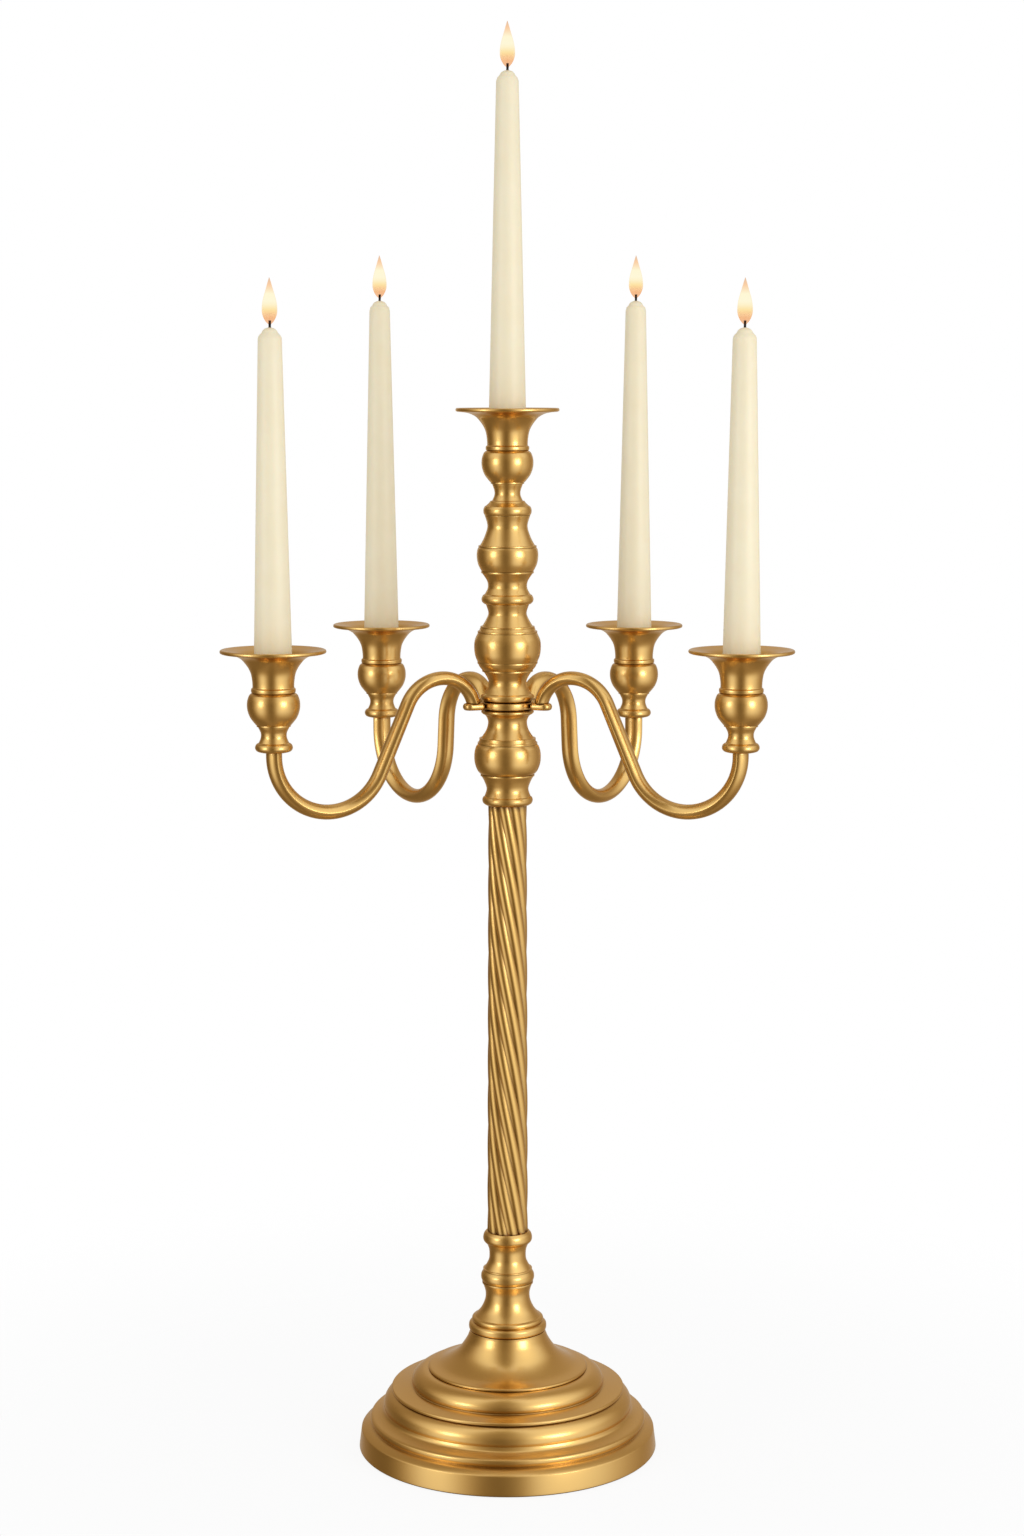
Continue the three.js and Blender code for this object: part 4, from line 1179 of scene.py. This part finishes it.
# %% Painted rings
# Each stop is a bearing in degrees, from the camera's side towards the right, and how bright the
# studio looks there, as a share of the screen strength.
SCREEN_STRENGTH = 1.3
LOW_RING = (
    (-180, 0.43),
    (-130, 0.17),
    (-105, 0.12),
    (-90, 0.22),
    (-65, 0.78),
    (-50, 0.87),
    (-35, 0.53),
    (-20, 0.18),
    (-5, 0.1),
    (10, 0.23),
    (20, 0.6),
    (30, 0.84),
    (45, 0.92),
    (75, 0.7),
    (100, 0.44),
    (125, 0.29),
    (180, 0.43),
)
HIGH_RING = (
    (-180, 0.47),
    (-150, 0.29),
    (-130, 0.24),
    (-110, 0.32),
    (-90, 0.63),
    (-70, 0.84),
    (-50, 0.84),
    (-30, 0.33),
    (-10, 0.14),
    (10, 0.29),
    (30, 0.84),
    (70, 0.92),
    (90, 0.8),
    (130, 0.28),
    (180, 0.47),
)
print("tones in the low and the high ring:", len(LOW_RING), len(HIGH_RING))

# %% World
UNDER_LEVEL = 0.17  # what the undersides mirror of the table
UNDER_SHARE = 0.85  # how much of that level covers the low ring, straight down
RISE_START, RISE_END = 0.15, 0.5  # from the low ring to the high one, as the sine of the elevation
FALL_START, FALL_END = -0.33, -0.85  # from the low ring to the table below
SHADE_TONE = "#FFD185"  # the studio's dark parts are warm, so that the brass stays golden there
NEUTRAL_LEVEL = 0.72  # from this level up the studio is white
SOFT_FILL = 0.63  # the even light that falls on wax and floor


def studio_world():
    """White for the camera and through the flames, and for metal the two painted rings."""
    world = bpy.data.worlds.new("studio")
    bpy.context.scene.world = world
    world.use_nodes = True
    tree = world.node_tree
    tree.nodes.clear()
    direction = add_node(tree, "ShaderNodeTexCoord").outputs["Generated"]
    split = add_node(tree, "ShaderNodeSeparateXYZ", {0: direction}).outputs
    ahead = add_node(tree, "ShaderNodeMath", {0: split["Y"], 1: -1.0}, operation="MULTIPLY")
    azimuth = add_node(tree, "ShaderNodeMath", {0: split["X"], 1: ahead.outputs[0]}, operation="ARCTAN2")
    turn = add_node(
        tree, "ShaderNodeMapRange", {"Value": azimuth.outputs[0], "From Min": -math.pi, "From Max": math.pi}
    )
    rings = []
    for stops in (LOW_RING, HIGH_RING):
        rings.append(add_node(tree, "ShaderNodeValToRGB", {"Fac": turn.outputs[0]}))
        set_stops(rings[-1], [(degrees / 360 + 0.5, grey(level)) for degrees, level in stops])
    below = add_node(
        tree, "ShaderNodeMapRange",
        {"Value": split["Z"], "From Min": FALL_START, "From Max": FALL_END, "To Max": UNDER_SHARE},
        interpolation_type="SMOOTHSTEP",
    )
    above = add_node(
        tree, "ShaderNodeMapRange",
        {"Value": split["Z"], "From Min": RISE_START, "From Max": RISE_END},
        interpolation_type="SMOOTHSTEP",
    )
    level = add_node(
        tree, "ShaderNodeMixRGB",
        {"Fac": above.outputs[0], "Color1": rings[0].outputs[0], "Color2": rings[1].outputs[0]},
    )
    level = add_node(
        tree, "ShaderNodeMixRGB",
        {"Fac": below.outputs[0], "Color1": level.outputs[0], "Color2": grey(UNDER_LEVEL)},
    )
    paleness = add_node(tree, "ShaderNodeMapRange", {"Value": level.outputs[0], "From Max": NEUTRAL_LEVEL})
    tone = add_node(
        tree, "ShaderNodeMixRGB",
        {"Fac": paleness.outputs[0], "Color1": linear(SHADE_TONE), "Color2": linear("#FFFFFF")},
    )
    strength = add_node(
        tree, "ShaderNodeMath", {0: level.outputs[0], 1: SCREEN_STRENGTH}, operation="MULTIPLY"
    )
    ray = add_node(tree, "ShaderNodeLightPath").outputs
    plain = add_node(tree, "ShaderNodeBackground", {"Color": linear("#FFFFFF"), "Strength": SOFT_FILL})
    mirrored = add_node(
        tree, "ShaderNodeBackground", {"Color": tone.outputs[0], "Strength": strength.outputs[0]}
    )
    white = add_node(tree, "ShaderNodeBackground", {"Color": linear("#FFFFFF"), "Strength": 1.0})
    light = add_node(
        tree, "ShaderNodeMixShader",
        {0: ray["Is Glossy Ray"], 1: plain.outputs[0], 2: mirrored.outputs[0]},
    )
    seen = add_node(
        tree, "ShaderNodeMath", {0: ray["Is Camera Ray"], 1: ray["Is Transmission Ray"]}, operation="MAXIMUM"
    )
    shader = add_node(
        tree, "ShaderNodeMixShader", {0: seen.outputs[0], 1: light.outputs[0], 2: white.outputs[0]}
    )
    add_node(tree, "ShaderNodeOutputWorld", {"Surface": shader.outputs[0]})


studio_world()

# %% [markdown]
# The softboxes
#
# Two small bright softboxes put the highlights on the round parts. Two large ones, which the brass
# doesn't mirror, light the wax and the floor. They are area lamps, because a broad lamp gives the
# soft edge that a real softbox gives to highlights and shadows.

# %% Softboxes
AIM_HEIGHT = 0.45  # in metres, where all four of them point


def softbox(name, azimuth, distance, height, size, power, mirrored):
    """A rectangular lamp that faces the stem. Azimuth is counted from the camera's side."""
    angle = math.radians(azimuth)
    spot = Vector((math.sin(angle) * distance, -math.cos(angle) * distance, height))
    deselect()
    bpy.ops.object.light_add(type="AREA", location=spot)
    lamp = bpy.context.object
    lamp.name = name
    lamp.data.shape = "RECTANGLE"
    lamp.data.size, lamp.data.size_y = size
    lamp.data.energy = power
    lamp.visible_glossy = mirrored
    lamp.rotation_euler = (Vector((0, 0, AIM_HEIGHT)) - spot).to_track_quat("-Z", "Y").to_euler()
    print(name, "in metres at", [round(c, 2) for c in spot], "power in watts", power)


softbox(
    "softbox_right", azimuth=52, distance=2.0, height=0.6, size=(1.9, 1.5), power=9.4, mirrored=False
)
softbox(
    "softbox_right_core", azimuth=46, distance=1.9, height=0.76, size=(0.62, 0.7), power=6.6, mirrored=True
)
softbox(
    "softbox_left_core", azimuth=-54, distance=1.9, height=0.74, size=(0.5, 0.7), power=3.4, mirrored=True
)
softbox(
    "softbox_left", azimuth=-60, distance=2.0, height=0.6, size=(1.2, 1.5), power=4.3, mirrored=False
)

# %% [markdown]
# The camera
#
# The photograph was taken from a little above the middle of the candelabra. Its camera was found by
# fitting a place, a tilt and a focal length to the widths and heights in the picture. They are
# written here as numbers, because a camera that is aimed by hand would miss the outlines.

# %% Camera
FOCAL_PIXELS = 3000
FRAME_PIXELS = 1536  # the height of the picture, its longer side
SENSOR = 36.0
CAMERA_PLACE = (0.00265, -1.7647, 0.645)
LOOK_DOWN = math.radians(7.38)
camera_data = bpy.data.cameras.new("camera")
camera = bpy.data.objects.new("camera", camera_data)
bpy.context.collection.objects.link(camera)
camera_data.sensor_width = SENSOR
camera_data.lens = SENSOR * FOCAL_PIXELS / FRAME_PIXELS
camera.location = CAMERA_PLACE
camera.rotation_euler = (math.pi / 2 - LOOK_DOWN, 0, 0)
bpy.context.scene.camera = camera
bpy.context.scene.view_settings.view_transform = "Standard"
print("lens in millimetres", camera_data.lens, "on a sensor of", SENSOR)
